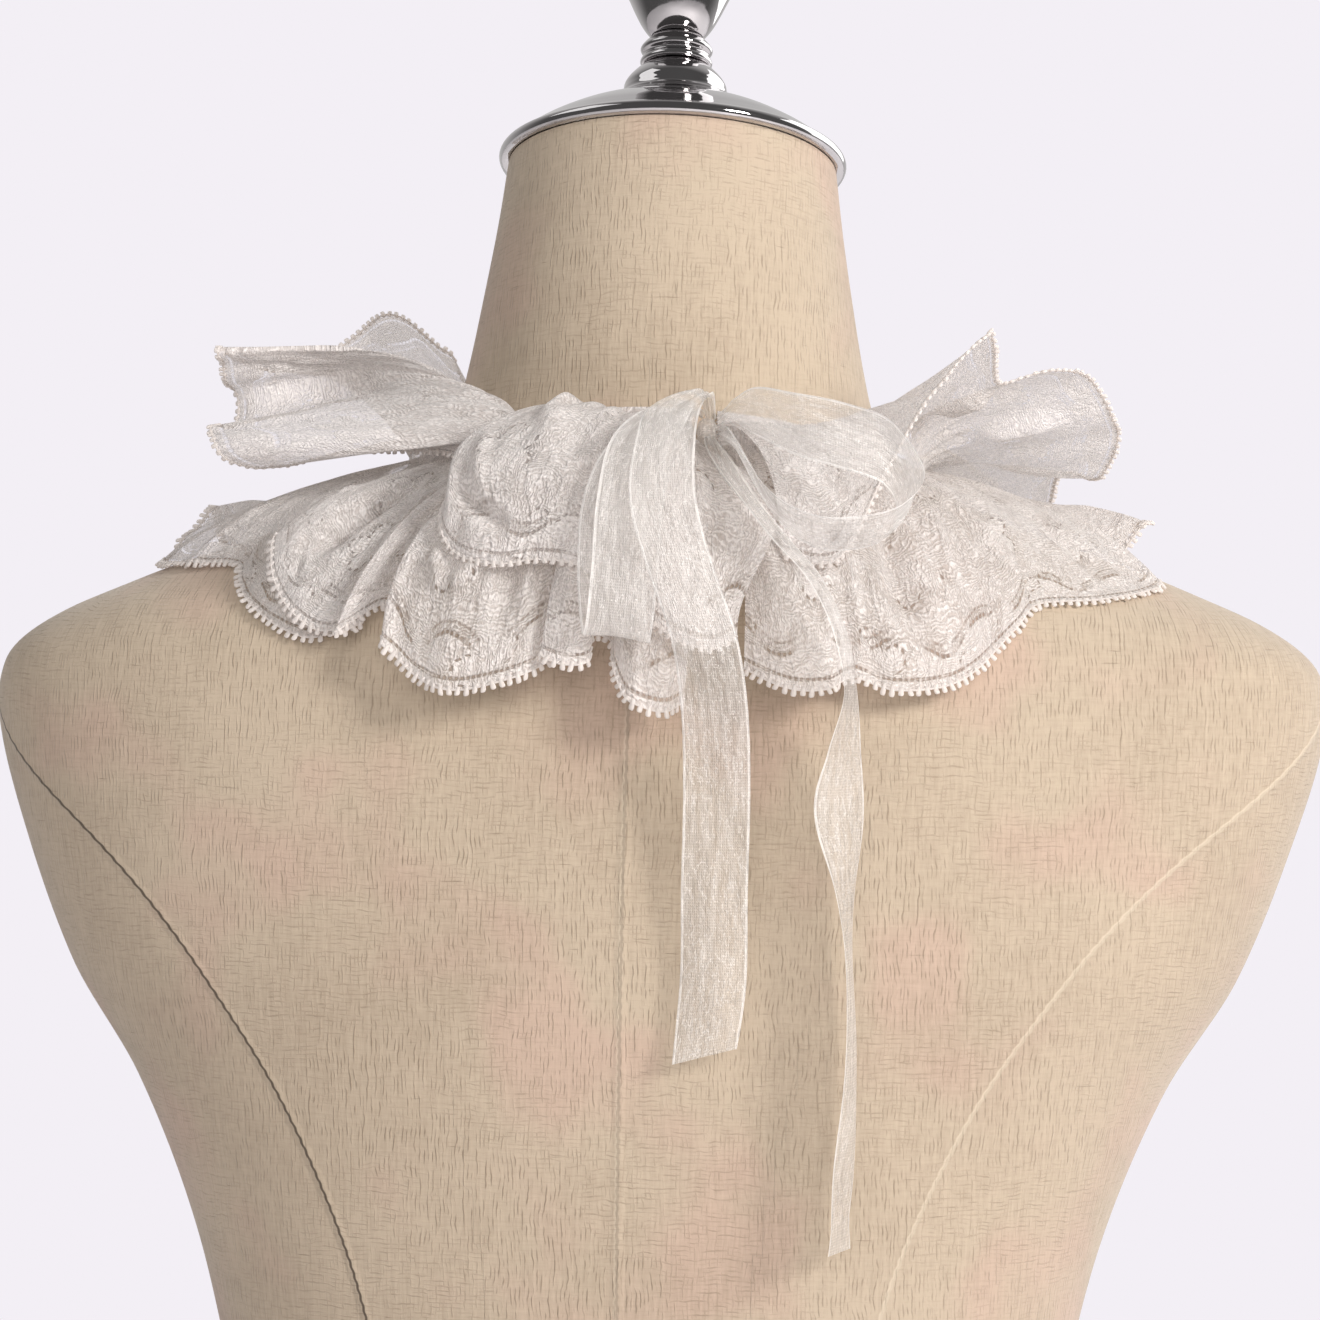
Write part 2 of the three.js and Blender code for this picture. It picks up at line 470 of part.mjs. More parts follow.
// ---------- ribbon bow ----------
// A row is a place on the ribbon's centre line and the direction of its width there: "swing" is
// that direction's angle from straight back towards the left, "tip" its slope above level, and
// "wide" the share of the ribbon's width, which is gathered up at the knot.
const LOOP_LEFT = [
  { x: -16.2, y: 50.5, z: 642.4, swing: 90, tip: 0, wide: 0.22 },
  { x: -12.5, y: 57.5, z: 643, swing: 90, tip: 0, wide: 0.4 },
  { x: -6, y: 74, z: 637.5, swing: 85, tip: 0, wide: 0.8 },
  { x: -1, y: 89, z: 628.5, swing: 90, tip: 0, wide: 1 },
  { x: 3, y: 98.5, z: 614, swing: 90, tip: 0, wide: 1 },
  { x: 3.5, y: 102.5, z: 597, swing: 90, tip: 0, wide: 1 },
  { x: 2.5, y: 104.5, z: 583, swing: 90, tip: 2, wide: 1 },
  { x: 1, y: 107.5, z: 576.5, swing: 90, tip: 4, wide: 1 },
  { x: -0.5, y: 110.5, z: 583, swing: 90, tip: 6, wide: 1 },
  { x: -1.5, y: 109.5, z: 597, swing: 90, tip: 6, wide: 1 },
  { x: -2, y: 104.5, z: 614, swing: 90, tip: 5, wide: 1 },
  { x: -4, y: 93, z: 630.5, swing: 90, tip: 5, wide: 1 },
  { x: -8, y: 76, z: 640, swing: 85, tip: 5, wide: 0.8 },
  { x: -12.5, y: 60.5, z: 645.4, swing: 90, tip: 0, wide: 0.4 },
  { x: -14.3, y: 54, z: 644.8, swing: 90, tip: 0, wide: 0.2 },
];
const LOOP_RIGHT = [
  { x: -22.4, y: 49.5, z: 640.5, swing: 0, tip: 70, wide: 0.2 },
  { x: -27, y: 60, z: 643, swing: 0, tip: 50, wide: 0.45 },
  { x: -36, y: 80, z: 642, swing: 0, tip: 55, wide: 0.85 },
  { x: -48, y: 95, z: 637.5, swing: 0, tip: 68, wide: 1 },
  { x: -64, y: 99.5, z: 633.5, swing: -5, tip: 80, wide: 1 },
  { x: -75, y: 99.5, z: 629, swing: -20, tip: 70, wide: 1 },
  { x: -81.5, y: 98, z: 618, swing: -35, tip: 42, wide: 1 },
  { x: -77, y: 102, z: 610, swing: -20, tip: 30, wide: 1 },
  { x: -67, y: 106, z: 606.5, swing: -5, tip: 28, wide: 1 },
  { x: -54, y: 108, z: 606.5, swing: 0, tip: 28, wide: 1 },
  { x: -42, y: 104, z: 614, swing: 10, tip: 30, wide: 0.95 },
  { x: -30.5, y: 83, z: 632.5, swing: 20, tip: 35, wide: 0.6 },
  { x: -23, y: 54.5, z: 636, swing: 20, tip: 70, wide: 0.2 },
];
const TAIL_LONG = [
  { x: -20, y: 51.2, z: 641, swing: 90, tip: 0, wide: 0.16 },
  { x: -18.5, y: 58, z: 648.4, swing: 90, tip: 0, wide: 0.3 },
  { x: -12, y: 77, z: 643.6, swing: 90, tip: 0, wide: 0.8 },
  { x: -11, y: 95, z: 633.5, swing: 90, tip: 0, wide: 0.9 },
  { x: -11.5, y: 107.5, z: 616, swing: 90, tip: 0, wide: 1 },
  { x: -17, y: 113.5, z: 597, swing: 90, tip: 0, wide: 1 },
  { x: -24, y: 113, z: 577, swing: 90, tip: 0, wide: 1 },
  { x: -27, y: 107.5, z: 556, swing: 90, tip: 0, wide: 1 },
  { x: -27.5, y: 101.5, z: 532, swing: 90, tip: 0, wide: 1 },
  { x: -27, y: 99, z: 505, swing: 90, tip: 0, wide: 1 },
  { x: -27, y: 99, z: 480, swing: 90, tip: 0, wide: 1 },
  { x: -25, y: 100.5, z: 458, swing: 90, tip: -15, wide: 1 },
];
const TAIL_SIDE = [
  { x: -20.9, y: 54.5, z: 634.5, swing: 70, tip: 0, wide: 0.14 },
  { x: -22.2, y: 68, z: 632.4, swing: 60, tip: 0, wide: 0.25 },
  { x: -32, y: 87, z: 620, swing: 40, tip: 0, wide: 0.4 },
  { x: -45, y: 100, z: 604, swing: 25, tip: 0, wide: 0.6 },
  { x: -55, y: 107, z: 593, swing: 15, tip: 0, wide: 0.85 },
  { x: -63, y: 109, z: 578, swing: 8, tip: 0, wide: 1 },
  { x: -66, y: 108, z: 562, swing: 6, tip: 0, wide: 1 },
  { x: -64, y: 105, z: 545, swing: 30, tip: 0, wide: 1 },
  { x: -62.5, y: 103, z: 529, swing: 45, tip: 0, wide: 1 },
  { x: -64.5, y: 104, z: 507, swing: 12, tip: 0, wide: 1 },
  { x: -67, y: 104, z: 477, swing: 6, tip: 0, wide: 1 },
  { x: -66.5, y: 104, z: 447, swing: 8, tip: 0, wide: 1 },
  { x: -64, y: 103, z: 404, swing: 16, tip: 0, wide: 1 },
];

function addRibbon(name, rows) {
  const count = (rows.length - 1) * STEPS_PER_RIBBON_ROW;
  const grid = [];
  for (let i = 0; i <= count; i++) {
    const row = rowAt(rows, i / STEPS_PER_RIBBON_ROW);
    const level = Math.cos(radians(row.tip));
    const width = new THREE.Vector3(
      Math.sin(radians(row.swing)) * level,
      Math.cos(radians(row.swing)) * level,
      Math.sin(radians(row.tip)),
    );
    const half = (RIBBON_WIDTH * row.wide) / 2;
    const middle = new THREE.Vector3(row.x, row.y, row.z);
    grid.push([-1, 0, 1].map((side) => middle.clone().addScaledVector(width, side * half)));
  }
  addWall(name, grid, CLOTH, organza);
}

function addKnot() {
  const ball = new THREE.SphereGeometry(0.5, 14, 10);
  ball.scale(KNOT.width, KNOT.depth, KNOT.height);
  const mesh = new THREE.Mesh(ball, organza);
  const z = neckline(KNOT.at) - BAND_HEIGHT / 2;
  const bandFront = neckRadius(KNOT.at, z, BAND_STAND_OFF);
  mesh.position.copy(roundNeck(KNOT.at, bandFront + GAP + KNOT.depth / 2, z));
  mesh.name = "bow_knot";
  object.add(mesh);
}

addDressForm();
addNeckCap();
addNeckband();
addRuffle("upper_ruffle", UPPER_FOLDS, UPPER_ROOT_BELOW);
addRuffle("lower_ruffle", LOWER_FOLDS, LOWER_ROOT_BELOW);
addKnot();
addRibbon("bow_loop_left", LOOP_LEFT);
addRibbon("bow_loop_right", LOOP_RIGHT);
addRibbon("ribbon_tail_long", TAIL_LONG);
addRibbon("ribbon_tail_side", TAIL_SIDE);

export default object;
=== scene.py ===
"""Looks of a lace false collar on a dress form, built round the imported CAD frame.

Shapes are worked out in millimetres, in the CAD's own frame: +Z up, the form faces -Y, its left
side is +X. Angles round the neck are degrees from the centre back, + to the form's left.
"""
import functools
import math

import bpy
import numpy as np
from mathutils import Matrix, Vector


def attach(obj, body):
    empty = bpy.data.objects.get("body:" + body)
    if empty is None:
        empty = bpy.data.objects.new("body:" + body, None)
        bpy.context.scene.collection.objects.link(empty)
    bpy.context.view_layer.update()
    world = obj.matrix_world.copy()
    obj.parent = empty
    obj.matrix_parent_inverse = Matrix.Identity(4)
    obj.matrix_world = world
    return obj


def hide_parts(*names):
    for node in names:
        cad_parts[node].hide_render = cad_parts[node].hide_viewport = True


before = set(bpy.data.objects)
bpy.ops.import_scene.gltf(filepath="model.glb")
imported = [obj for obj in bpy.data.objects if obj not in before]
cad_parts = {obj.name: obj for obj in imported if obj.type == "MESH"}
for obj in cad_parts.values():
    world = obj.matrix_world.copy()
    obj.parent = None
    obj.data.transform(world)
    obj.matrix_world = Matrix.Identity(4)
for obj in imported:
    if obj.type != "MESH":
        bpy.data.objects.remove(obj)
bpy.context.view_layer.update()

# ---------- sizes, in millimetres ----------
MM = 0.001
NECK_AXIS_Y = -18.0
NECKLINE_MID = 631.5
NECKLINE_SLOPE = 11.0
FORM_CLEARANCE = 1.7  # least distance from the form to the lace
OPENING_AT = -16.0  # where the collar ties
OPENING_HALF = 3.5
BAND_HEIGHT = 9.0
BAND_STAND_OFF = 1.9
BAND_THICKNESS = 0.7
BAND_RADIUS = 65.0
BAND_RIPPLE = 0.15
BAND_FROM_EDGE = 30.0  # the band shows the lace's net as it is this far from an edge
ROOT_STAND_OFF = 3.5
BAND_SHARE = 3.0  # the band lies under the first third of a ruffle at most
PICOT_PITCH = 2.55
PICOT_HALF_WIDTH = 0.85
PICOT_HALF_DEPTH = 0.5
PICOT_RINGS = ((-0.6, 0.55, 0.8), (0.1, 0.85, 1), (0.6, 1, 1), (0.9, 0.85, 0.9), (1.0, 0.5, 0.5))  # out, wide, thick
CORD_RADIUS = 0.32
RIBBON_WIDTH = 19.0
GAP = 0.3
NECK_RADIUS = 68.0  # of the neckline, near enough for spacing gathers
GATHER_PITCH = 4.6
GATHER_DEPTH = 0.55
PLEAT_DEPTH = 1.5
FLOOR_RADIUS = 2.2  # in metres
KNOT = {"at": -16.0, "width": 6.6, "depth": 6.4, "height": 8.0, "slack": 0.93}
CAP_LEAN = 12.5

# ---------- finishes ----------
LINEN_LIGHT = (0.475, 0.385, 0.29, 1)
LINEN_DARK = (0.28, 0.215, 0.152, 1)
LINEN_PINK = (0.49, 0.365, 0.285, 1)
# the seams' painted shade in their stitched groove, and their painted highlight where they are lit
SEAM_PAINTED_SHADE = (0.07, 0.05, 0.035, 1)
SEAM_PAINTED_HIGHLIGHT = (0.68, 0.58, 0.45, 1)
LACE_LIGHT = (1.0, 0.95, 0.925, 1)
LACE_SHADED = (0.72, 0.65, 0.615, 1)
THREAD_LIGHT = (0.97, 0.93, 0.9, 1)
THREAD_SHADED = (0.82, 0.765, 0.73, 1)
# organza: its lighter colour is painted sheen and highlight on the crushed weave, and the selvedges' own colour
ORGANZA_SHEEN_AND_SELVEDGE = (0.97, 0.94, 0.91, 1)
ORGANZA_SHADED = (0.76, 0.715, 0.68, 1)
CHROME_LIGHT = (0.66, 0.64, 0.64, 1)
CHROME_SHADED = (0.5, 0.48, 0.49, 1)
FLOOR_LIGHT = (0.84, 0.82, 0.84, 1)
FLOOR_SHADED = (0.8, 0.78, 0.8, 1)
BACKDROP_COLOUR = (0.896, 0.863, 0.913, 1)
ROOM_COLOUR = (1.0, 0.985, 0.98, 1)

rng = np.random.default_rng(7)


# ---------- tables ----------
def table(columns, rows):
    """A table as one array for each named column."""
    values = np.array(rows, float)
    return {name: values[:, k] for k, name in enumerate(columns.split())}


FORM = table("z half back front mid square lean", [
    # height, half width, back and front on the centre line, widest line, squareness, lean
    (0, 144, 100, -88, 4, 2.3, 0), (5, 149, 105, -92, 4, 2.3, 0), (60, 158, 114, -98, 5, 2.3, 0),
    (115, 150, 109, -96, 5, 2.3, 0), (175, 127, 93, -91, 4, 2.25, 0), (240, 110, 80, -87, 2, 2.2, 0),
    (305, 118, 82, -99, 0, 2.25, 0), (350, 127, 88, -114, 0, 2.3, 0), (398, 139, 92, -120, 0, 2.35, 0),
    (442, 157, 93, -113, 0, 2.4, 0), (476, 178, 92.5, -103, 0, 2.4, 0), (523, 196, 88, -88, 0, 2.4, 0),
    (552, 203.5, 82, -80, 0, 2.3, 0), (567, 202, 78, -77, 0, 2.25, 0), (575, 196, 75.5, -76, 0, 2.2, 0),
    (583.5, 183, 72.5, -75, -2, 2.15, 0), (591.5, 165, 69, -75, -4, 2.1, 0), (598, 149, 66, -75, -6, 2.1, 0),
    (607, 123, 61, -76, -9, 2.1, 0), (617, 98, 55, -77, -12, 2.05, 0), (627, 80, 49.5, -78, -15, 2, 0),
    (636, 70, 45, -79, -17, 2, 1), (646, 65, 42, -80, -19, 2, 3), (660, 61.5, 39, -81, -21, 2, 6),
    (682, 57.5, 33, -82, -24.5, 2, 9), (704, 54, 25.5, -82, -28.2, 2, 10), (723.5, 51.5, 20, -82.5, -31.3, 2, 12.5),
])
FORM_TOP = {name: values[-1] for name, values in FORM.items()}


def along_rows(columns, per_row):
    """Each column's values at so many steps to a row, on a Catmull-Rom curve."""
    last = len(next(iter(columns.values()))) - 1
    at = np.linspace(0, last, last * per_row + 1)
    i = np.clip(np.floor(at).astype(int), 0, last - 1)
    t = at - i
    found = {}
    for name, values in columns.items():
        a, b, c, d = (values[np.clip(i + k, 0, last)] for k in (-1, 0, 1, 2))
        rise, fall = (c - a) / 2, (d - b) / 2
        found[name] = b + t * (rise + t * (3 * (c - b) - 2 * rise - fall + t * (2 * (b - c) + rise + fall)))
    return found


def mix(a, b, t):
    return a + (b - a) * t


def smooth(low, high, x):
    """0 below low, 1 above high and an even curve between."""
    t = np.clip((x - low) / (high - low), 0, 1)
    return t * t * (3 - 2 * t)


# ---------- the form's surface ----------
def form_section(z):
    """The form's section at heights z, by smooth curves through the table."""
    levels = FORM["z"]
    last = len(levels) - 1
    low = np.clip(np.searchsorted(levels, z, side="right") - 1, 0, last - 1)
    high = low + 1
    under = np.maximum(low - 1, 0)
    over = np.minimum(low + 2, last)
    span = levels[high] - levels[low]
    t = np.clip((z - levels[low]) / span, 0, 1)
    section = {}
    for name, c in FORM.items():
        slope_low = (c[high] - c[under]) / (levels[high] - levels[under]) * span
        slope_high = (c[over] - c[low]) / (levels[over] - levels[low]) * span
        bend = 3 * (c[high] - c[low]) - 2 * slope_low - slope_high
        twist = 2 * (c[low] - c[high]) + slope_low + slope_high
        section[name] = c[low] + t * (slope_low + t * (bend + t * twist))
    return section


def section_radius(section, angle):
    """Distance from a section's mid point to its outline, at an angle in radians."""
    sideways = np.abs(np.sin(angle)) / section["half"]
    backwards = np.cos(angle)
    back, front = section["back"] - section["mid"], section["mid"] - section["front"]
    depth = np.where(backwards > 0, back, front)
    square = section["square"]
    return (sideways**square + (np.abs(backwards) / depth) ** square) ** (-1 / square)


def on_form(z, degrees, stand_off=0.0):
    """Points on the form's surface, or stand_off outside it."""
    z, degrees = np.broadcast_arrays(np.asarray(z, float), np.asarray(degrees, float))
    section = form_section(z)
    angle = np.radians(degrees)
    radius = section_radius(section, angle) + stand_off
    y = radius * np.cos(angle)
    rise = y * np.tan(np.radians(section["lean"]))
    return np.stack([radius * np.sin(angle), section["mid"] + y, z + rise], -1)


def outside_form(p):
    """How far outside the form points are, as a share of the section's size there."""
    level = p[..., 2].copy()
    for _ in range(4):
        section = form_section(level)
        level = p[..., 2] - (p[..., 1] - section["mid"]) * np.tan(np.radians(section["lean"]))
    section = form_section(level)
    y = p[..., 1] - section["mid"]
    return np.hypot(p[..., 0], y) / section_radius(section, np.arctan2(p[..., 0], y)) - 1


def clear_of_form(p, clearance):
    """Moves points out of the form, square to its surface, until they are clear of it."""
    step = 0.5
    for _ in range(6):
        here = outside_form(p)
        slope = np.stack([(outside_form(p + step * axis) - here) / step for axis in np.eye(3)], -1)
        steep = np.linalg.norm(slope, axis=-1)
        missing = np.maximum(clearance - here / steep, 0)
        p = p + slope / steep[..., None] * missing[..., None]
    return p


# ---------- meshes ----------
def add_mesh(name, points, faces, material, values=None, flat_faces=0):
    """A mesh object from points in millimetres, with float attributes on its points and its last faces flat."""
    mesh = bpy.data.meshes.new(name)
    mesh.from_pydata((points.reshape(-1, 3) * MM).tolist(), [], faces)
    for key, numbers in (values or {}).items():
        numbers = np.broadcast_to(np.asarray(numbers, float), points.shape[:-1])
        mesh.attributes.new(key, "FLOAT", "POINT").data.foreach_set("value", numbers.ravel())
    mesh.materials.append(material)
    mesh.polygons.foreach_set("use_smooth", [True] * (len(faces) - flat_faces) + [False] * flat_faces)
    mesh.update()
    piece = bpy.data.objects.new(name, mesh)
    bpy.context.scene.collection.objects.link(piece)
    return piece


def declare(piece, node):
    """Hides the CAD node that a piece is seen in place of, and attaches the piece to the root body."""
    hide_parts(node)
    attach(piece, "root")


def grid_faces(columns, steps, start=0, close=False):
    """Quads of a grid of columns x steps points, numbered down each column."""
    number = np.arange(start, start + columns * steps).reshape(columns, steps)
    if close:
        number = np.concatenate([number, number[:1]])
    return np.stack([number[:-1, :-1], number[1:, :-1], number[1:, 1:], number[:-1, 1:]], -1).reshape(-1, 4).tolist()


def closed_faces(sides, steps, start=0, flip=False):
    """Quads of a grid that closes on itself, and a face across each of its ends."""
    first = list(range(start, start + sides * steps, steps))
    last = [number + steps - 1 for number in first]
    ends = [first, last[::-1]] if flip else [first[::-1], last]
    return grid_faces(sides, steps, start, close=True) + ends


def full_turn(sides):
    """Even angles round a circle, in radians."""
    return np.arange(sides) * 2 * np.pi / sides


def grid_normals(grid):
    return unit(np.cross(np.gradient(grid, axis=0), np.gradient(grid, axis=1)))


def unit(v):
    return v / np.maximum(np.linalg.norm(v, axis=-1, keepdims=True), 1e-9)


def cord(line, radius, sides):
    """Points of a round cord: for each of its sides, one beside each point of a line."""
    tangent = unit(np.gradient(line, axis=0))
    side = np.zeros_like(line)
    upright = abs(tangent[0][2]) > 0.9
    guide = np.array([1.0, 0.0, 0.0]) if upright else np.array([0.0, 0.0, 1.0])
    for k in range(len(line)):
        guide = unit(guide - tangent[k] * (guide @ tangent[k]))
        side[k] = guide
    other = np.cross(tangent, side)
    turn = full_turn(sides)[:, None, None]
    return line + radius * (np.cos(turn) * side + np.sin(turn) * other)


# ---------- material nodes ----------
class Tree:
    """The nodes of a new material or world, made by short calls."""

    def __init__(self, owner, output="OutputMaterial"):
        owner.use_nodes = True
        self.owner = owner
        self.nodes, self.links = owner.node_tree.nodes, owner.node_tree.links
        self.nodes.clear()
        self.output = self.add(output)

    def add(self, kind, inputs=None, **settings):
        node = self.nodes.new("ShaderNode" + kind)
        for key, value in settings.items():
            setattr(node, key, value)
        for key, value in (inputs or {}).items():
            self.put(node.inputs[key], value)
        return node

    def put(self, socket, value):
        """Sets a socket, or joins it to another one or to a node's first output. None leaves it as it is."""
        if isinstance(value, bpy.types.Node):
            value = value.outputs[0]
        if isinstance(value, bpy.types.NodeSocket):
            self.links.new(value, socket)
        elif value is not None:
            socket.default_value = value

    def math(self, operation, a, b=None, c=None, clamp=False):
        return self.add("Math", dict(enumerate((a, b, c))), operation=operation, use_clamp=clamp).outputs[0]

    def total(self, base, *parts, clamp=False):
        """A base plus parts that are each multiplied by a weight."""
        for k, (part, weight) in enumerate(parts, 1):
            base = self.math("MULTIPLY_ADD", part, weight, base, clamp=clamp and k == len(parts))
        return base

    def plus(self, a, b):
        return self.math("ADD", a, b)

    def minus(self, a, b):
        return self.math("SUBTRACT", a, b)

    def times(self, a, *others):
        return functools.reduce(functools.partial(self.math, "MULTIPLY"), others, a)

    def largest(self, a, *others):
        return functools.reduce(functools.partial(self.math, "MAXIMUM"), others, a)

    def size(self, x):
        return self.math("ABSOLUTE", x)

    def wave(self, x, pitch):
        """A sine wave along x."""
        return self.math("SINE", self.times(x, 2 * math.pi / pitch))

    def line(self, x, at, half_width, soft=0.4):
        """1 on a line of a half width where x is near a value, fading to 0 beside it."""
        return self.step(self.size(self.minus(x, at)), half_width, half_width + soft, 1.0, 0.0)

    def value(self, name):
        """A float attribute of the mesh."""
        return self.add("Attribute", attribute_name=name).outputs["Fac"]

    def step(self, x, low, high, to_low=0.0, to_high=1.0):
        """Maps x from low..high to to_low..to_high on an even curve."""
        inputs = dict(enumerate((x, low, high, to_low, to_high)))
        return self.add("MapRange", inputs, interpolation_type="SMOOTHSTEP").outputs[0]

    def noise(self, vector, scale, detail=2.0, roughness=0.5):
        inputs = {"Vector": vector, "Scale": scale, "Detail": detail, "Roughness": roughness}
        return self.add("TexNoise", inputs).outputs["Fac"]

    def stretched(self, x, y, x_scale, y_scale, detail=2.0, roughness=0.5):
        """Noise over x and y with a grain of its own each way."""
        place = self.vector(self.times(x, x_scale), self.times(y, y_scale))
        return self.noise(place, 1.0, detail, roughness)

    def vector(self, x, y):
        return self.add("CombineXYZ", {"X": x, "Y": y}).outputs[0]

    def colour(self, factor, a, b):
        return self.add("Mix", {0: factor, 6: a, 7: b}, data_type="RGBA").outputs[2]

    def bump(self, height, strength, distance):
        return self.add("Bump", {"Height": height, "Strength": strength, "Distance": distance}).outputs[0]

    def body(self, colour, roughness, normal=None, specular=0.5, metallic=0.0, sheen=0.0, sheen_roughness=0.5):
        inputs = {"Base Color": colour, "Roughness": roughness, "Normal": normal, "Specular IOR Level": specular}
        inputs |= {"Metallic": metallic, "Sheen Weight": sheen, "Sheen Roughness": sheen_roughness}
        return self.add("BsdfPrincipled", inputs)

    def finish(self, shader):
        self.put(self.output.inputs["Surface"], shader)
        return self.owner

    def finish_cloth(self, body, glow, glow_share, cover):
        """Finishes thin cloth, which glows with light from behind it and shows what is beyond its gaps."""
        threads = self.add("MixShader", {0: glow_share, 1: body, 2: glow})
        return self.finish(self.add("MixShader", {0: cover, 1: self.add("BsdfTransparent"), 2: threads}))


def linen_material():
    """Slubbed plain-weave linen: threads both ways, uneven in colour and thickness, and painted seam shade and
    highlight.
    """
    t = Tree(bpy.data.materials.new("linen"))
    across, up = t.value("round"), t.value("height")
    place = t.vector(across, up)
    sway = t.times(t.noise(place, 0.06, 3, 0.6), 4.5)

    # each thread has a tone of its own, which changes slowly along it
    warp = t.stretched(across, up, 0.85, 0.075, 3, 0.65)
    weft = t.stretched(across, up, 0.075, 0.85, 3, 0.65)

    # the gaps between threads, which show more one way or the other in patches
    pitch = 1.25
    favour = t.noise(place, 0.02, 3)
    broken_up = t.step(t.stretched(across, up, 0.75, 0.2), 0.42, 0.66)
    broken_across = t.step(t.stretched(across, up, 0.2, 0.75), 0.38, 0.68)
    gaps_up = t.step(t.wave(t.plus(across, sway), pitch), 0.1, 1.0)
    gaps_across = t.step(t.wave(t.plus(up, sway), pitch), 0.1, 1.0)
    gaps_up = t.times(gaps_up, broken_up, t.step(favour, 0.36, 0.58, 0.45, 1.0))
    gaps_across = t.times(gaps_across, broken_across, t.step(favour, 0.38, 0.6, 0.7, 0.1))
    gaps = t.largest(gaps_up, gaps_across)

    # slubs: short thick dark threads, more of them across
    slub_up = t.step(t.stretched(across, up, 1.5, 0.1, 1), 0.73, 0.81)
    slub_across = t.step(t.stretched(across, up, 0.09, 1.5, 1), 0.73, 0.8)
    slubs = t.largest(slub_up, slub_across)

    patches = t.noise(place, 0.012, 3)
    shade = t.total(-0.95, (warp, 0.85), (weft, 0.45), (gaps, 0.6), (slubs, 0.5), (patches, 0.9), clamp=True)
    blush = t.step(t.noise(place, 0.017, 2), 0.48, 0.66)
    colour = t.colour(blush, LINEN_LIGHT, LINEN_PINK)
    colour = t.colour(shade, colour, LINEN_DARK)

    # seams: painted shade in the stitched groove where the seam is in shade, and a faint painted highlight line where
    # it is lit
    seam, painted_seam_shade = t.value("seam"), t.value("seam_painted_shade")
    seam = t.plus(seam, t.times(t.wave(up, 3.2), 0.14))
    painted_ditch_shade = t.times(t.line(seam, 0.0, 0.22, 0.4), painted_seam_shade)
    glint = t.times(t.line(seam, 0.3, 0.35, 0.6), t.step(painted_seam_shade, 0.2, 0.5, 0.45, 0.0))
    colour = t.colour(glint, colour, SEAM_PAINTED_HIGHLIGHT)
    colour = t.colour(painted_ditch_shade, colour, SEAM_PAINTED_SHADE)

    drawn_in = t.line(seam, 0.0, 0.2, 2.2)
    height = t.total(0.0, (warp, 0.5), (weft, 0.5), (gaps, -1.0), (slubs, 0.6), (drawn_in, -2.0))
    return t.finish(t.body(colour, 0.85, t.bump(height, 0.6, 0.0003), specular=0.25, sheen=0.2))


def chrome_material():
    """Polished turned metal with fine turning lines and faint smears."""
    t = Tree(bpy.data.materials.new("chrome"))
    place = t.add("TexCoord").outputs["Object"]
    smear = t.noise(place, 60.0, 4)
    colour, roughness = t.colour(smear, CHROME_LIGHT, CHROME_SHADED), t.total(0.02, (smear, 0.08))
    return t.finish(t.body(colour, roughness, t.bump(t.noise(place, 400.0, 1), 0.03, 0.0002), metallic=1.0))


def sprig_pattern(t, along, edge, wobble):
    """Soft flower sprigs: how solid they are, and the open net and small holes that pick them out."""
    pitch_along, pitch_across = 37.0, 29.0
    lifted = t.math("DIVIDE", t.minus(edge, 19.0), pitch_across)
    shifted = t.total(t.math("DIVIDE", along, pitch_along), (t.math("FLOOR", lifted), 0.5))
    x = t.total(wobble, (t.minus(t.math("FRACT", shifted), 0.5), pitch_along))
    y = t.total(t.times(wobble, 0.6), (t.minus(t.math("FRACT", lifted), 0.5), pitch_across))
    reach = t.math("SQRT", t.plus(t.times(x, x), t.times(y, y)))
    turn = t.math("ARCTAN2", y, x)
    petals = t.size(t.math("COSINE", t.times(turn, 2.5)))
    rim = t.minus(t.total(5.5, (petals, 4.5)), reach)
    fill = t.step(rim, -0.8, 1.2)

    # open net lies on one side of a sprig, with a broken thread of holes between them
    some = t.step(t.noise(t.vector(along, edge), 0.07, 2), 0.48, 0.58)
    open_net = t.times(t.line(rim, -2.2, 0.8, 1.4), some)
    ladder = t.step(t.wave(t.times(turn, 4.0), 1.0), -0.5, 0.4)
    holes = t.times(t.line(rim, -0.4, 0.15, 0.6), ladder, some)
    return fill, open_net, holes


def border_pattern(t, along, edge, wobble):
    """Borders that follow the edge: a dark drawn line behind the picots, and an open band between two scallops."""
    picks = t.step(t.wave(along, 1.7), -0.9, 0.5, 0.45, 1.0)
    gone = t.step(t.stretched(along, edge, 0.12, 1.0), 0.34, 0.5, 0.35, 1.0)
    edge_line = t.times(t.line(edge, 2.7, 0.2, 0.55), picks, gone)
    scallop = t.times(t.wave(along, 29.0), 3.0)
    inside = t.minus(t.minus(edge, 10.5), t.plus(scallop, t.times(wobble, 1.2)))
    patchy = t.step(t.noise(t.vector(along, edge), 0.085, 2), 0.44, 0.57)
    inner_line = t.times(t.line(inside, 0.0, 0.2, 0.7), picks, patchy)
    open_band = t.times(t.line(inside, 1.6, 0.7, 1.2), patchy)
    second = t.times(t.line(inside, 3.0, 0.1, 0.6), picks, patchy)
    solid = t.times(t.step(inside, -0.6, 0.0, 1.0, 0.0), 0.75)
    lines = t.largest(t.times(edge_line, 0.9), inner_line, t.times(second, 0.6))
    return solid, open_band, lines


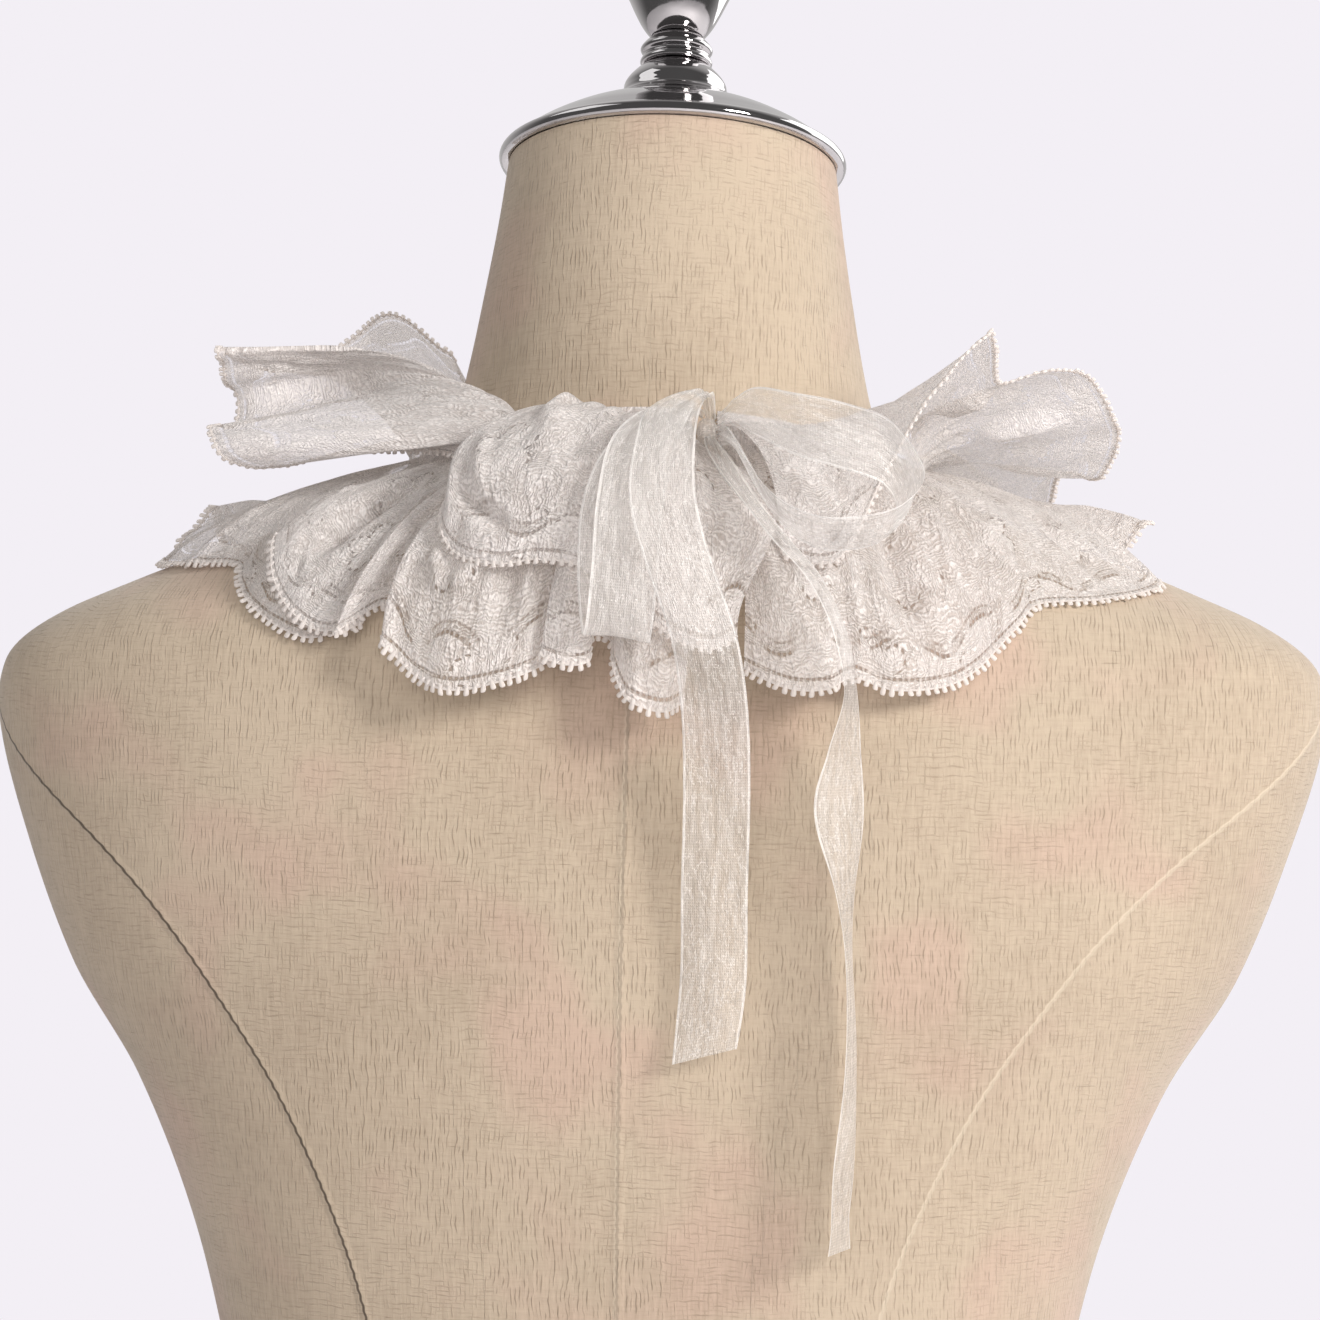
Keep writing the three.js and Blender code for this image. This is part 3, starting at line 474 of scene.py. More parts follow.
def lace_material():
    """Ivory lace: a dense crinkled net, with sprigs and scalloped bands picked out in open net and holes."""
    t = Tree(bpy.data.materials.new("lace"))
    along, edge = t.value("along"), t.value("edge")
    place = t.vector(along, edge)
    wobble = t.times(t.minus(t.noise(place, 0.05, 3, 0.6), 0.5), 16.0)
    ripple = t.times(t.minus(t.noise(place, 0.35, 2), 0.5), 3.2)

    # fine ribs, finer columns and loose threads, which give way to one another in patches
    favour = t.step(t.noise(place, 0.09, 2), 0.4, 0.6)
    rib = t.times(t.wave(t.plus(edge, t.plus(wobble, ripple)), 1.25), t.total(0.25, (favour, 0.7)))
    column = t.times(t.wave(t.total(along, (ripple, 1.5)), 1.05), t.total(0.75, (favour, -0.5)))
    loose = t.minus(t.noise(place, 0.8, 3, 0.7), 0.5)
    net = t.step(t.total(t.plus(rib, column), (loose, 4.0)), -1.0, 1.0)
    mottle = t.step(t.noise(place, 0.13, 3, 0.6), 0.34, 0.66)

    # crinkles that run from the gathers toward the edge, raised in relief and drawn lighter as a painted highlight
    folded = t.stretched(t.total(along, (wobble, 0.4)), edge, 0.15, 0.06, 3, 0.6)
    crinkle_and_highlight = t.line(folded, 0.5, 0.0, 0.09)

    fill, sprig_open, sprig_holes = sprig_pattern(t, along, edge, t.times(wobble, 0.35))
    solid, border_open, border_holes = border_pattern(t, along, edge, t.times(wobble, 0.25))
    dense = t.largest(t.times(fill, 0.6), solid)
    mesh = t.largest(t.times(sprig_open, 0.5), t.times(border_open, 0.7))
    mesh = t.times(mesh, t.total(1.0, (net, -0.75)))
    holes = t.largest(t.times(sprig_holes, 0.85), border_holes)

    cover = t.total(0.66, (mottle, 0.1), (net, 0.2), (crinkle_and_highlight, 0.06), (dense, 0.12))
    cover = t.times(cover, t.total(1.0, (mesh, -0.3)), t.total(1.0, (holes, -0.75)))
    cover = t.math("MINIMUM", cover, 0.97)
    height = t.total(0.0, (net, 1.2), (crinkle_and_highlight, 1.7), (dense, 0.8), (mesh, -0.8), (holes, -1.4))
    normal = t.bump(height, 0.75, 0.00045)
    # the crinkles are drawn lighter in tone here: a painted highlight on them
    tone = t.total(0.25, (crinkle_and_highlight, 0.2), (mottle, 0.2), (net, 0.55), (dense, 0.1))
    tone = t.total(tone, (mesh, -0.3), (holes, -1.1), clamp=True)
    colour = t.colour(tone, LACE_SHADED, LACE_LIGHT)
    body = t.body(colour, 0.5, normal, specular=0.45, sheen=0.5, sheen_roughness=0.4)
    glow = t.add("BsdfTranslucent", {"Color": colour, "Normal": normal})
    return t.finish_cloth(body, glow, 0.36, cover)


def thread_material():
    """The lace's heavier thread: picots and the cord behind them."""
    t = Tree(bpy.data.materials.new("lace_thread"))
    ply = t.noise(t.add("TexCoord").outputs["Object"], 900.0, 2)
    colour = t.colour(ply, THREAD_SHADED, THREAD_LIGHT)
    body = t.body(colour, 0.55, t.bump(ply, 0.5, 0.0002), sheen=0.3)
    return t.finish_cloth(body, t.add("BsdfTranslucent", {"Color": colour}), 0.4, 0.85)


def organza_material():
    """Sheer organza ribbon: an open weave crushed into streaks with painted sheen and glints, between two dense
    selvedges.
    """
    t = Tree(bpy.data.materials.new("organza"))
    along, across = t.value("along"), t.value("across")
    selvedge = t.step(t.size(across), RIBBON_WIDTH / 2 - 1.1, RIBBON_WIDTH / 2 - 0.6)
    weave = t.largest(t.wave(across, 0.62), t.wave(along, 0.8))
    streak = t.stretched(along, across, 0.06, 0.5, 3)
    crush = t.stretched(along, across, 0.11, 0.3, 3, 0.6)
    fleck = t.stretched(along, across, 0.8, 0.9, 2, 0.7)
    # glints: painted highlights, small bright flecks where the weave is crushed, drawn denser too
    glint = t.times(t.step(fleck, 0.54, 0.7), t.step(crush, 0.5, 0.6))
    ridge = t.line(crush, 0.5, 0.0, 0.025)
    cover = t.total(0.17, (streak, 0.45), (t.step(weave, 0.0, 1.0), 0.1), (ridge, 0.22))
    cover = t.largest(cover, t.times(glint, 0.9), t.times(selvedge, 0.8))
    height = t.total(0.0, (weave, 0.25), (crush, 7.0), (fleck, 0.8))
    # lighter along the streaks, crisp ridges and glints as painted sheen and highlights, and at the denser selvedges in
    # their own colour
    painted_sheen_and_selvedge = t.largest(streak, ridge, glint, selvedge)
    colour = t.colour(painted_sheen_and_selvedge, ORGANZA_SHADED, ORGANZA_SHEEN_AND_SELVEDGE)
    body = t.body(colour, 0.28, t.bump(height, 0.9, 0.0004), specular=0.9, sheen=1.0, sheen_roughness=0.25)
    return t.finish_cloth(body, t.add("BsdfTranslucent", {"Color": colour}), 0.3, cover)


def floor_material():
    t = Tree(bpy.data.materials.new("floor"))
    grain = t.noise(t.add("TexCoord").outputs["Object"], 8.0, 4)
    return t.finish(t.body(t.colour(grain, FLOOR_SHADED, FLOOR_LIGHT), 0.7))


LINEN = linen_material()
CHROME = chrome_material()
LACE = lace_material()
THREAD = thread_material()
ORGANZA = organza_material()


# ---------- dress form ----------
# Seams of the linen: how far round the form the curved ones run at each height, in degrees from the back,
# and how much painted shade each line gets. The form's right faces the light, so seams there get a painted highlight.
SEAM_LEVELS = (5, 60, 150, 240, 310, 383, 430, 480, 520, 553, 562)
CURVED_SEAMS = (
    (38, 36, 37, 40, 40, 42.5, 50, 60, 71, 86, 90),
    (140, 142, 143, 140, 139, 140, 132, 122, 110, 95, 92),
)
CENTRE_SEAMS = (0, 180)
CENTRE_SEAM_PAINTED_SHADE = 0.35
LEFT_SEAM_PAINTED_SHADE = 0.9
RIGHT_SEAM_PAINTED_SHADE = 0.12


def evened(values, reach):
    """Values along a line, each drawn toward those up to reach places from it."""
    weights = np.hanning(2 * reach + 3)[1:-1]
    return np.convolve(np.pad(values, reach, "edge"), weights / weights.sum(), "valid")


def seam_lines():
    """The seams as lines of points on the form, each with its painted shade."""
    levels = np.linspace(SEAM_LEVELS[0], SEAM_LEVELS[-1], 120)
    neck = np.linspace(SEAM_LEVELS[-1], NECKLINE_MID, 40)
    whole = np.concatenate([levels, neck[1:]])
    lines = [(on_form(whole, turn), CENTRE_SEAM_PAINTED_SHADE) for turn in CENTRE_SEAMS]
    for turns in CURVED_SEAMS:
        turn = evened(np.interp(levels, SEAM_LEVELS, turns), reach=8)
        lines.append((on_form(levels, turn), LEFT_SEAM_PAINTED_SHADE))
        lines.append((on_form(levels, -turn), RIGHT_SEAM_PAINTED_SHADE))
    return lines


def nearest_seam(points):
    """Signed distance from each point to the nearest seam, and that seam's painted shade."""
    nearest = np.full(len(points), 1e6)
    dark = np.zeros(len(points))
    at_once = 4000
    for line, painted_seam_shade in seam_lines():
        start, step = line[:-1], np.diff(line, axis=0)
        length = (step**2).sum(-1)
        for first in range(0, len(points), at_once):
            block = slice(first, first + at_once)
            away = points[block, None] - start
            share = np.clip((away * step).sum(-1) / length, 0, 1)
            off = away - share[..., None] * step
            distance = np.linalg.norm(off, axis=-1)
            k = distance.argmin(1)
            rows = np.arange(len(k))
            side = np.sign(off[rows, k, 0] * step[k, 2] - off[rows, k, 2] * step[k, 0])
            signed = distance[rows, k] * np.where(side == 0, 1, side)
            closer = np.abs(signed) < np.abs(nearest[block])
            nearest[block][closer] = signed[closer]
            dark[block][closer] = painted_seam_shade
    return nearest, dark


def make_form():
    sides = 240
    hem, shoulder, top = 5, 560, FORM_TOP["z"]
    levels = np.concatenate(
        [np.linspace(0, hem, 5)[:-1], np.linspace(hem, shoulder, 170)[:-1], np.linspace(shoulder, top, 100)]
    )
    turn = np.arange(sides + 1) * 360 / sides
    grid = on_form(levels, turn[:, None])
    step = np.linalg.norm(np.diff(grid, axis=0), axis=-1)
    around = np.cumsum(step, 0) - step
    total = step.sum(0)
    around = np.where(around > total / 2, around - total, around)
    seam, seam_painted_shade = (values.reshape(around.shape) for values in nearest_seam(grid[:-1].reshape(-1, 3)))
    values = {"round": around, "height": levels, "seam": seam, "seam_painted_shade": seam_painted_shade}
    faces = closed_faces(sides, len(levels), flip=True)
    declare(add_mesh("form_linen", grid[:-1], faces, LINEN, values, flat_faces=2), "dress_form")


# ---------- neck cap ----------
CAP_OUTLINE = [
    (0, 0), (52.6, 0), (54, 0.7), (54.6, 2.2), (54, 3.7), (52.3, 4.7), (49, 7), (44, 10.4), (36, 14.8),
    (27, 18.6), (21, 21.2), (17.2, 23.8), (16.4, 26), (16, 28), (14.9, 29.9), (13, 32), (11.2, 33.7),
    (10.6, 34.2), (0, 34.2),
]
STEM_OUTLINE = [
    (0, 0), (10.2, 0), (11.1, 0.5), (11.4, 1.3), (11, 2.3), (10.3, 3), (10.3, 3.7), (11.1, 4.6),
    (11.4, 5.5), (10.9, 6.5), (9.8, 7.8), (8.6, 9), (8.2, 9.6), (0, 9.6),
]
FINIAL_OUTLINE = [
    (0, 0), (8.2, 0), (9.8, 1.6), (11.6, 4.2), (13.3, 7.4), (14.9, 10.8), (17, 15.6), (18.6, 21.4),
    (19, 27), (17.9, 32.6), (14.9, 37.4), (10.2, 41.2), (5.2, 43.2), (0, 43.8),
]


def make_turned(name, node, outline, height):
    """A turned metal piece, its outline rounded by a curve between its corners."""
    sides, per_corner = 96, 6
    fine = along_rows(table("r h", outline[1:-1]), per_corner)
    turn = full_turn(sides)[:, None]
    grid = np.stack(np.broadcast_arrays(fine["r"] * np.cos(turn), fine["r"] * np.sin(turn), fine["h"] + height), -1)
    grid = grid @ np.array(Matrix.Rotation(math.radians(CAP_LEAN), 3, "X")).T + (0, FORM_TOP["mid"], FORM_TOP["z"])
    declare(add_mesh(name, grid, closed_faces(*grid.shape[:2]), CHROME, flat_faces=2), node)


def make_neck_cap():
    height = GAP
    for name, node, outline in (
        ("cap_plate", "neck_cap", CAP_OUTLINE),
        ("cap_rings", "cap_stem", STEM_OUTLINE),
        ("cap_finial", "finial", FINIAL_OUTLINE),
    ):
        make_turned(name, node, outline, height)
        height += outline[-1][1] + GAP


# ---------- collar ----------
def neckline(degrees):
    return NECKLINE_MID + NECKLINE_SLOPE * np.cos(np.radians(degrees))


def make_neckband():
    turn = np.linspace(OPENING_AT + OPENING_HALF, OPENING_AT - OPENING_HALF + 360, 260)[:, None]
    share = np.linspace(0, 1, 9)
    level = neckline(turn) - share * BAND_HEIGHT
    out = on_form(level, turn, BAND_STAND_OFF + BAND_THICKNESS / 2)
    into = on_form(level, turn, BAND_STAND_OFF - BAND_THICKNESS / 2)
    ripple = BAND_RIPPLE * np.sin(turn * 1.9) * np.sin(share * np.pi)
    out = out + unit(out - into) * ripple[..., None]
    number = np.arange(level.size).reshape(level.shape)
    rim = np.concatenate([number[:, 0], number[-1, 1:], number[-2::-1, -1], number[0, -2:0:-1]])
    walls = np.stack([rim, np.roll(rim, -1), np.roll(rim, -1) + level.size, rim + level.size], -1)
    faces = [face[::-1] for face in grid_faces(*level.shape)]
    faces += grid_faces(*level.shape, start=level.size) + walls.tolist()
    values = {"along": np.radians(turn) * BAND_RADIUS, "edge": BAND_FROM_EDGE + share * BAND_HEIGHT}
    piece = add_mesh("neckband_lace", np.stack([out, into]), faces, LACE, values)
    declare(piece, "neckband")


FOLD_COLUMNS = "at to out up hang arch bend"
UPPER_FOLDS = table(FOLD_COLUMNS, [
    (-12.5, -15.5, 122, -65, 0.9, -6, -9), (-9.5, -12, 122, -69, 0.9, -4, -6), (-6, -7, 120, -66, 1, -2, -2),
    (-3, -1, 117, -57, 1, 1, 0), (0, 3.5, 115, -49, 1, 2, 0), (3.5, 8, 115, -45, 1, 3, 0), (7, 13, 116, -44, 1, 5, 1),
    (10.5, 19, 117, -45, 1, 6, 3), (14, 26, 116, -41, 1, 6, 5), (17.5, 30, 112, -31, 1, 5, 6),
    (19.5, 35, 93, -15, 0.6, 4, 3), (22, 46, 85, -8, 0.2, 3, 0), (24.5, 64, 104, -5, 0, 2, 0),
    (27, 65, 130, -10, 0, -2, 0), (30, 67, 143, 0, 0, 3, 6), (36, 76, 137, 8, 0, 12, 12), (44, 80, 135, 16, 0, 15, 13),
    (53, 73, 138, 23, 0, 19, 9), (64, 71, 139, 27, 0, 19, 4), (77, 82, 124, 25, 0, 17, 0), (91, 99, 116, 34, 0, 6, 0),
    (104, 105, 107, 43, 0, 3, 0), (116, 113, 102, 53, 0, 2, 0), (127, 121, 95, 47, 0, 3, 0),
    (136, 131, 94, 32, 0, 4, 0), (144, 146, 118, 0, 0.4, 6, 0), (151, 153, 128, -14, 0.8, 6, 0),
    (161, 162, 112, 6, 0.2, 6, 0), (171, 172, 126, -18, 0.8, 6, 0), (181, 181, 110, 4, 0.2, 6, 0),
    (192, 190, 126, -20, 0.8, 6, 0), (203, 202, 112, 8, 0.2, 6, 0), (214, 213, 128, -12, 0.7, 6, 0),
    (225, 226, 116, 16, 0.1, 6, 0), (236, 240, 132, -8, 0.5, 6, 0), (247, 253, 128, 2, 0.3, 6, 0),
    (257, 263, 135, -1, 0.2, 6, 0), (266, 272, 140, 8, 0, 6, 0), (274, 279, 134, 23, 0, 8, 0),
    (282, 286, 124, 24, 0, 9, 0), (290, 292, 112, 19, 0, 5, 0), (299, 305, 123, 28, 0, 4, 0),
    (308, 314, 116, 6, 0.2, 6, 0), (316, 319, 112, -12, 0.6, 4, 0), (323, 324, 112, -30, 0.9, 2, 0),
    (330, 329, 117, -41, 1, 1, 0), (336, 333, 116, -43, 1, 1, 0), (340.5, 337, 113, -41, 1, 0, -1),
])
LOWER_FOLDS = table(FOLD_COLUMNS, [
    (-12.5, -9, 112, -84, 0.8, -3, 0), (-9.5, -6, 118, -87, 0.8, -3, 0), (-7, -3, 119, -86, 0.8, -2, 0),
    (-5, -0.5, 118, -83, 0.8, 0, 0), (-3, 1.5, 114, -75, 0.8, 0, 0), (-1, 2.5, 108, -67, 0.8, 0, 0),
    (1, 5, 110, -66, 0.8, 0, 0), (3, 5, 117, -73, 0.8, 0, 0), (5, 8, 120, -74, 0.8, 0, 0),
    (7.5, 11.5, 119, -71, 0.8, 0, 0), (9.5, 9.5, 110, -69, 0.8, 0, 0), (12, 11, 114, -73, 0.8, 0, 0),
    (15.5, 15.5, 121, -78, 0.8, 0, 0), (20.5, 23, 126, -81, 0.8, 0, 0), (25, 29, 126, -76, 0.8, -3, 0),
    (28, 34, 124, -66, 0.8, -4, 0), (31, 38.5, 117, -55, 0.7, -6, 0), (34, 41.5, 130, -63, 0.7, -3, 0),
    (36, 40.5, 121, -60, 0.7, -5, 0), (38.5, 45, 129, -62, 0.7, -4, 0), (41, 48.5, 133, -57, 0.7, -4, 0),
    (43.5, 51.5, 135, -49, 0.7, -4, 0), (46, 53.5, 135, -40, 0.7, -3, 0), (48.5, 55, 131, -32, 0.6, -3, 0),
    (51, 52, 122, -42, 0.6, -3, 0), (53.5, 46, 120, -60, 0.7, -2, 0), (56, 49, 125, -66, 0.7, -2, 0),
    (59, 55.5, 132, -60, 0.7, -1, 0), (62, 60.5, 136, -51, 0.7, 0, 0), (65, 64, 136, -40, 0.6, 0, 0),
    (70, 71, 146, -38, 0.6, 0, 0), (76, 79, 155, -36, 0.5, 0, 0), (82, 84, 151, -31, 0.4, 0, 0),
    (88, 88, 147, -23, 0.2, 0, 0), (96, 93, 143, -15, 0.1, 0, 0), (104, 103, 146, -26, 0.4, 0, 0),
    (113, 114, 132, -28, 0.5, 0, 0), (123, 126, 142, -50, 0.8, 0, 0), (133, 137, 124, -44, 0.6, 0, 0),
    (144, 148, 132, -66, 0.8, 0, 0), (155, 157, 110, -56, 0.6, 0, 0), (167, 168, 122, -75, 0.8, 0, 0),
    (179, 180, 106, -60, 0.6, 0, 0), (190, 190, 122, -77, 0.8, 0, 0), (200, 199, 108, -58, 0.6, 0, 0),
    (211, 209, 132, -70, 0.8, 0, 0), (221, 219, 122, -48, 0.6, 0, 0), (231, 230, 142, -56, 0.8, 0, 0),
    (241, 241, 134, -34, 0.5, 0, 0), (251, 252, 148, -32, 0.5, 0, 0), (260, 261, 144, -19, 0.3, 0, 0),
    (268, 274, 150, -18, 0.2, 0, 0), (276, 280, 144, -31, 0.3, -1, 0), (283, 285, 157, -41, 0.5, 1, 0),
    (290, 294, 150, -48, 0.7, 0, 0), (297, 302, 138, -50, 0.8, -2, 0), (303, 307, 138, -58, 0.8, 1, 0),
    (309, 313, 137, -70, 0.7, 1, 0), (315, 318, 136, -76, 0.7, 1, 0), (321, 324, 131, -78, 0.7, 1, 0),
    (326, 328, 122, -75, 0.8, -2, 0), (331, 333, 126, -79, 0.8, -1, 0), (335.5, 338, 124, -79, 0.8, -2, 0),
    (340.5, 343, 116, -74, 0.8, -3, 0),
])


def ruffle_grid(folds, root_below, per_fold, steps):
    """A gathered tier's neck angles, its columns of points from neckline to free edge, and their clearances."""
    fold = {name: values[:, None] for name, values in along_rows(folds, per_fold).items()}
    v = np.linspace(0, 1, steps + 1)
    out_first, down_last = np.sin(v * np.pi / 2), 1 - np.cos(v * np.pi / 2)
    root_z = neckline(fold["at"]) - root_below
    root = on_form(root_z, fold["at"], ROOT_STAND_OFF)
    root_radius = np.hypot(root[..., 0], root[..., 1] - NECK_AXIS_Y)
    edge_z = neckline(fold["to"]) + fold["up"]
    radius = mix(root_radius, fold["out"], mix(v, out_first, fold["hang"]))
    z = mix(root_z, edge_z, mix(v, down_last, fold["hang"])) + fold["arch"] * np.sin(np.pi * np.sqrt(v))
    angle = np.radians(mix(fold["at"], fold["to"], v) + fold["bend"] * np.sin(np.pi * v) ** 2)
    points = np.stack([radius * np.sin(angle), NECK_AXIS_Y + radius * np.cos(angle), z], -1)
    clearance = mix(FORM_CLEARANCE, ROOT_STAND_OFF, np.maximum(0, 1 - BAND_SHARE * v))
    return fold["at"][:, 0], points, clearance


CREASE_COLUMNS = "at v at_end v_end deep wide"
UPPER_CREASES = table(CREASE_COLUMNS, [
    # neck angle and share of the width at each end, height in mm (+ a ridge, - a trough), half width
    (28.3, 0.3, 28.5, 1, 3, 6), (38, 0.2, 39, 1, -5, 9), (34.5, 0.3, 40, 0.8, 1.5, 2.8), (31.2, 0.5, 31, 1, -1.2, 2.4),
    (47, 0.3, 52, 1, -1.6, 4), (58, 0.25, 62, 1, 1.6, 4), (70, 0.2, 71, 0.9, -2.6, 6), (84, 0.3, 86, 1, 2, 5),
    (20.5, 0.1, 17, 0.5, -6, 5), (14.5, 0.06, 10, 0.42, 3, 2.6), (24, 0.25, 21, 0.6, -1.5, 3),
    (15.5, 0.42, 12, 0.76, 2.6, 2.8), (16, 0.74, 9, 0.88, -4, 3), (2, 0.42, 4.5, 0.75, -2.2, 2.4),
    (11, 0.2, 8, 0.6, 2.4, 4), (6, 0.25, 6, 0.6, -2, 4), (-1, 0.3, -2, 0.9, 1.4, 3.5), (-9, 0.3, -7.5, 0.8, -1.4, 3),
    (98, 0.25, 97, 1, -2, 4), (110, 0.4, 108, 1, 1.6, 4), (121, 0.2, 119, 0.75, -1.6, 3), (133, 0.35, 131, 1, 2, 4),
    (148, 0.3, 150, 0.8, -2, 4), (157, 0.5, 158, 1, 1.4, 3), (168, 0.2, 165, 0.7, 1.5, 4), (184, 0.4, 186, 1, -1.4, 4),
    (198, 0.3, 195, 0.9, 1.8, 5), (212, 0.25, 214, 0.7, -1.8, 3), (228, 0.4, 231, 1, 1.6, 4),
    (241, 0.2, 243, 0.8, -2, 4), (253, 0.3, 259, 1, -1.8, 4), (262, 0.3, 266, 1, 2.2, 5),
    (268.5, 0.25, 270, 0.8, -5, 5), (276, 0.3, 278, 0.7, 3, 4), (286, 0.25, 288, 0.9, -5, 5), (295, 0.3, 297, 1, 3, 4),
    (303, 0.2, 306, 0.8, -1.6, 4), (318, 0.2, 318, 0.7, 1.5, 4), (327, 0.4, 327, 0.9, -1.2, 3),
    (336, 0.3, 335, 0.9, 1, 3),
])
LOWER_CREASES = table(CREASE_COLUMNS, [
    (42, 0.2, 43, 0.85, -8, 6), (37.5, 0.2, 37, 0.85, 3.5, 3.5), (45.5, 0.7, 42, 0.92, -1.3, 2),
    (47, 0.45, 50, 0.7, 1.2, 3), (55, 0.3, 53, 0.6, 1.6, 4), (61, 0.45, 62, 1, -1.6, 4), (69, 0.4, 70, 1, 1.6, 4),
    (77, 0.3, 78, 0.8, -1.6, 4), (30, 0.4, 27.5, 1, 3.6, 3.5), (24, 0.25, 24, 0.62, -8, 7),
    (27, 0.62, 23.5, 0.75, 2.5, 3.2), (23.5, 0.75, 19, 0.6, 2.5, 3.2), (16, 0.4, 17, 0.9, -3.5, 4.5),
    (20.5, 0.75, 21.5, 1, 1.2, 4), (6, 0.5, 5.5, 0.9, 1.2, 3), (0, 0.45, -0.5, 0.9, -1.2, 3),
    (-6, 0.55, -6, 1, 1.2, 3), (-9.5, 0.5, -9.5, 0.9, -1.2, 2.5), (86, 0.35, 85, 1, 1.8, 5),
    (94, 0.25, 96, 0.8, -2.2, 4), (108, 0.4, 109, 1, 1.6, 4), (119, 0.3, 121, 0.75, -2, 4), (130, 0.5, 132, 1, 1.5, 3),
    (141, 0.3, 143, 0.9, -2.2, 5), (152, 0.4, 155, 1, 1.6, 4), (164, 0.3, 165, 0.7, -1.6, 3),
    (176, 0.45, 177, 1, 1.8, 5), (189, 0.3, 187, 0.8, -1.8, 4), (202, 0.4, 201, 1, 1.4, 3),
    (214, 0.3, 212, 0.85, -2.2, 4), (226, 0.5, 225, 1, 1.8, 4), (238, 0.3, 240, 0.8, -1.6, 4),
    (249, 0.4, 250, 1, 1.6, 5), (258, 0.3, 258, 0.8, -2, 4), (266, 0.5, 270, 1, 1.4, 3), (275, 0.3, 278, 0.7, -1.6, 4),
    (284, 0.4, 283, 1, 2.6, 4), (291, 0.4, 289, 0.9, -2.6, 4), (298, 0.3, 297, 0.7, 2.4, 4),
    (305, 0.35, 303, 0.8, -2.4, 4), (310, 0.3, 309, 0.65, 3.2, 4), (318, 0.4, 318, 0.86, -7, 6),
    (325, 0.5, 325, 1, 2.4, 3.5), (331, 0.45, 331, 0.92, -3, 4), (337, 0.4, 337, 0.9, 1.2, 3),
])


def crease_heights(creases, at, along, depth):
    """Height of the creases at each point: soft ridges and troughs that die away at their ends."""
    heights = np.zeros((len(along), len(depth)))
    for k in range(len(creases["at"])):
        crease = {name: values[k] for name, values in creases.items()}
        start_x, end_x = np.interp([crease["at"], crease["at_end"]], at, along)
        start_y, end_y = crease["v"] * depth[-1], crease["v_end"] * depth[-1]
        run_x, run_y = end_x - start_x, end_y - start_y
        x, y = along[:, None] - start_x, depth[None] - start_y
        share = np.clip((x * run_x + y * run_y) / (run_x**2 + run_y**2), 0, 1)
        off = np.hypot(x - share * run_x, y - share * run_y)
        fade = smooth(0, 0.35, share)
        if crease["v_end"] < 1:
            fade = fade * (1 - smooth(0.65, 1, share))
        heights += crease["deep"] * fade * np.exp(-((off / crease["wide"]) ** 2))
    return heights


def make_ruffle(name, node, folds, creases, root_below, width, seed, reach):
    """A gathered tier of lace with its creases, and its picot edge as a piece of its own.

    The width is the lace's own, from neckline to picot edge, and the reach is that of its picots.
    """
    per_fold, steps = 24, 62
    at, grid, clearance = ruffle_grid(folds, root_below, per_fold, steps)
    v = np.linspace(0, 1, steps + 1)
    edge_step, middle_step = (np.linalg.norm(np.diff(grid[:, k], axis=0), axis=-1) for k in (-1, steps // 2))
    along = np.concatenate([[0], np.cumsum(np.maximum(edge_step, middle_step))])
    push = crease_heights(creases, at, along, v * width)

    # faint unevenness between the creases, and the gathers at the neckline
    draw = np.random.default_rng(seed)
    uneven = np.zeros(len(along))
    for length in (41.0, 23.0, 13.0):
        uneven += np.sin(along * 2 * np.pi / length + draw.uniform(0, 6.28)) * length / 90
    gather = np.sin(np.radians(at) * NECK_RADIUS * 2 * np.pi / GATHER_PITCH + 1.3 * np.sin(along / 19.0))
    push += uneven[:, None] * smooth(0.15, 0.7, v) * (1 - 0.35 * smooth(0.8, 1, v))
    push += GATHER_DEPTH * gather[:, None] * smooth(0.0, 0.06, v) * (1 - smooth(0.12, 0.5, v))
    grid = clear_of_form(grid + grid_normals(grid) * push[..., None], clearance)

    values = {"along": along[:, None], "edge": (1 - v) * width}
    piece = add_mesh(name, grid, grid_faces(*grid.shape[:2]), LACE, values)
    declare(piece, node)
    trim = make_picots(name + "_picots", grid, reach)
    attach(trim, "root")


def line_length(line):
    """How far along a line each of its points lies."""
    return np.concatenate([[0], np.cumsum(np.linalg.norm(np.diff(line, axis=0), axis=-1))])


def resample(line, pitch):
    """Fractional point numbers at even spacing along a line."""
    length = line_length(line)
    count = int(length[-1] / pitch)
    at = (np.arange(count) + 0.5) * length[-1] / count
    return np.interp(at, length, np.arange(len(line)))


def pick(values, at):
    """Values at fractional point numbers."""
    low = np.clip(np.floor(at).astype(int), 0, len(values) - 2)
    return mix(values[low], values[low + 1], (at - low)[:, None])


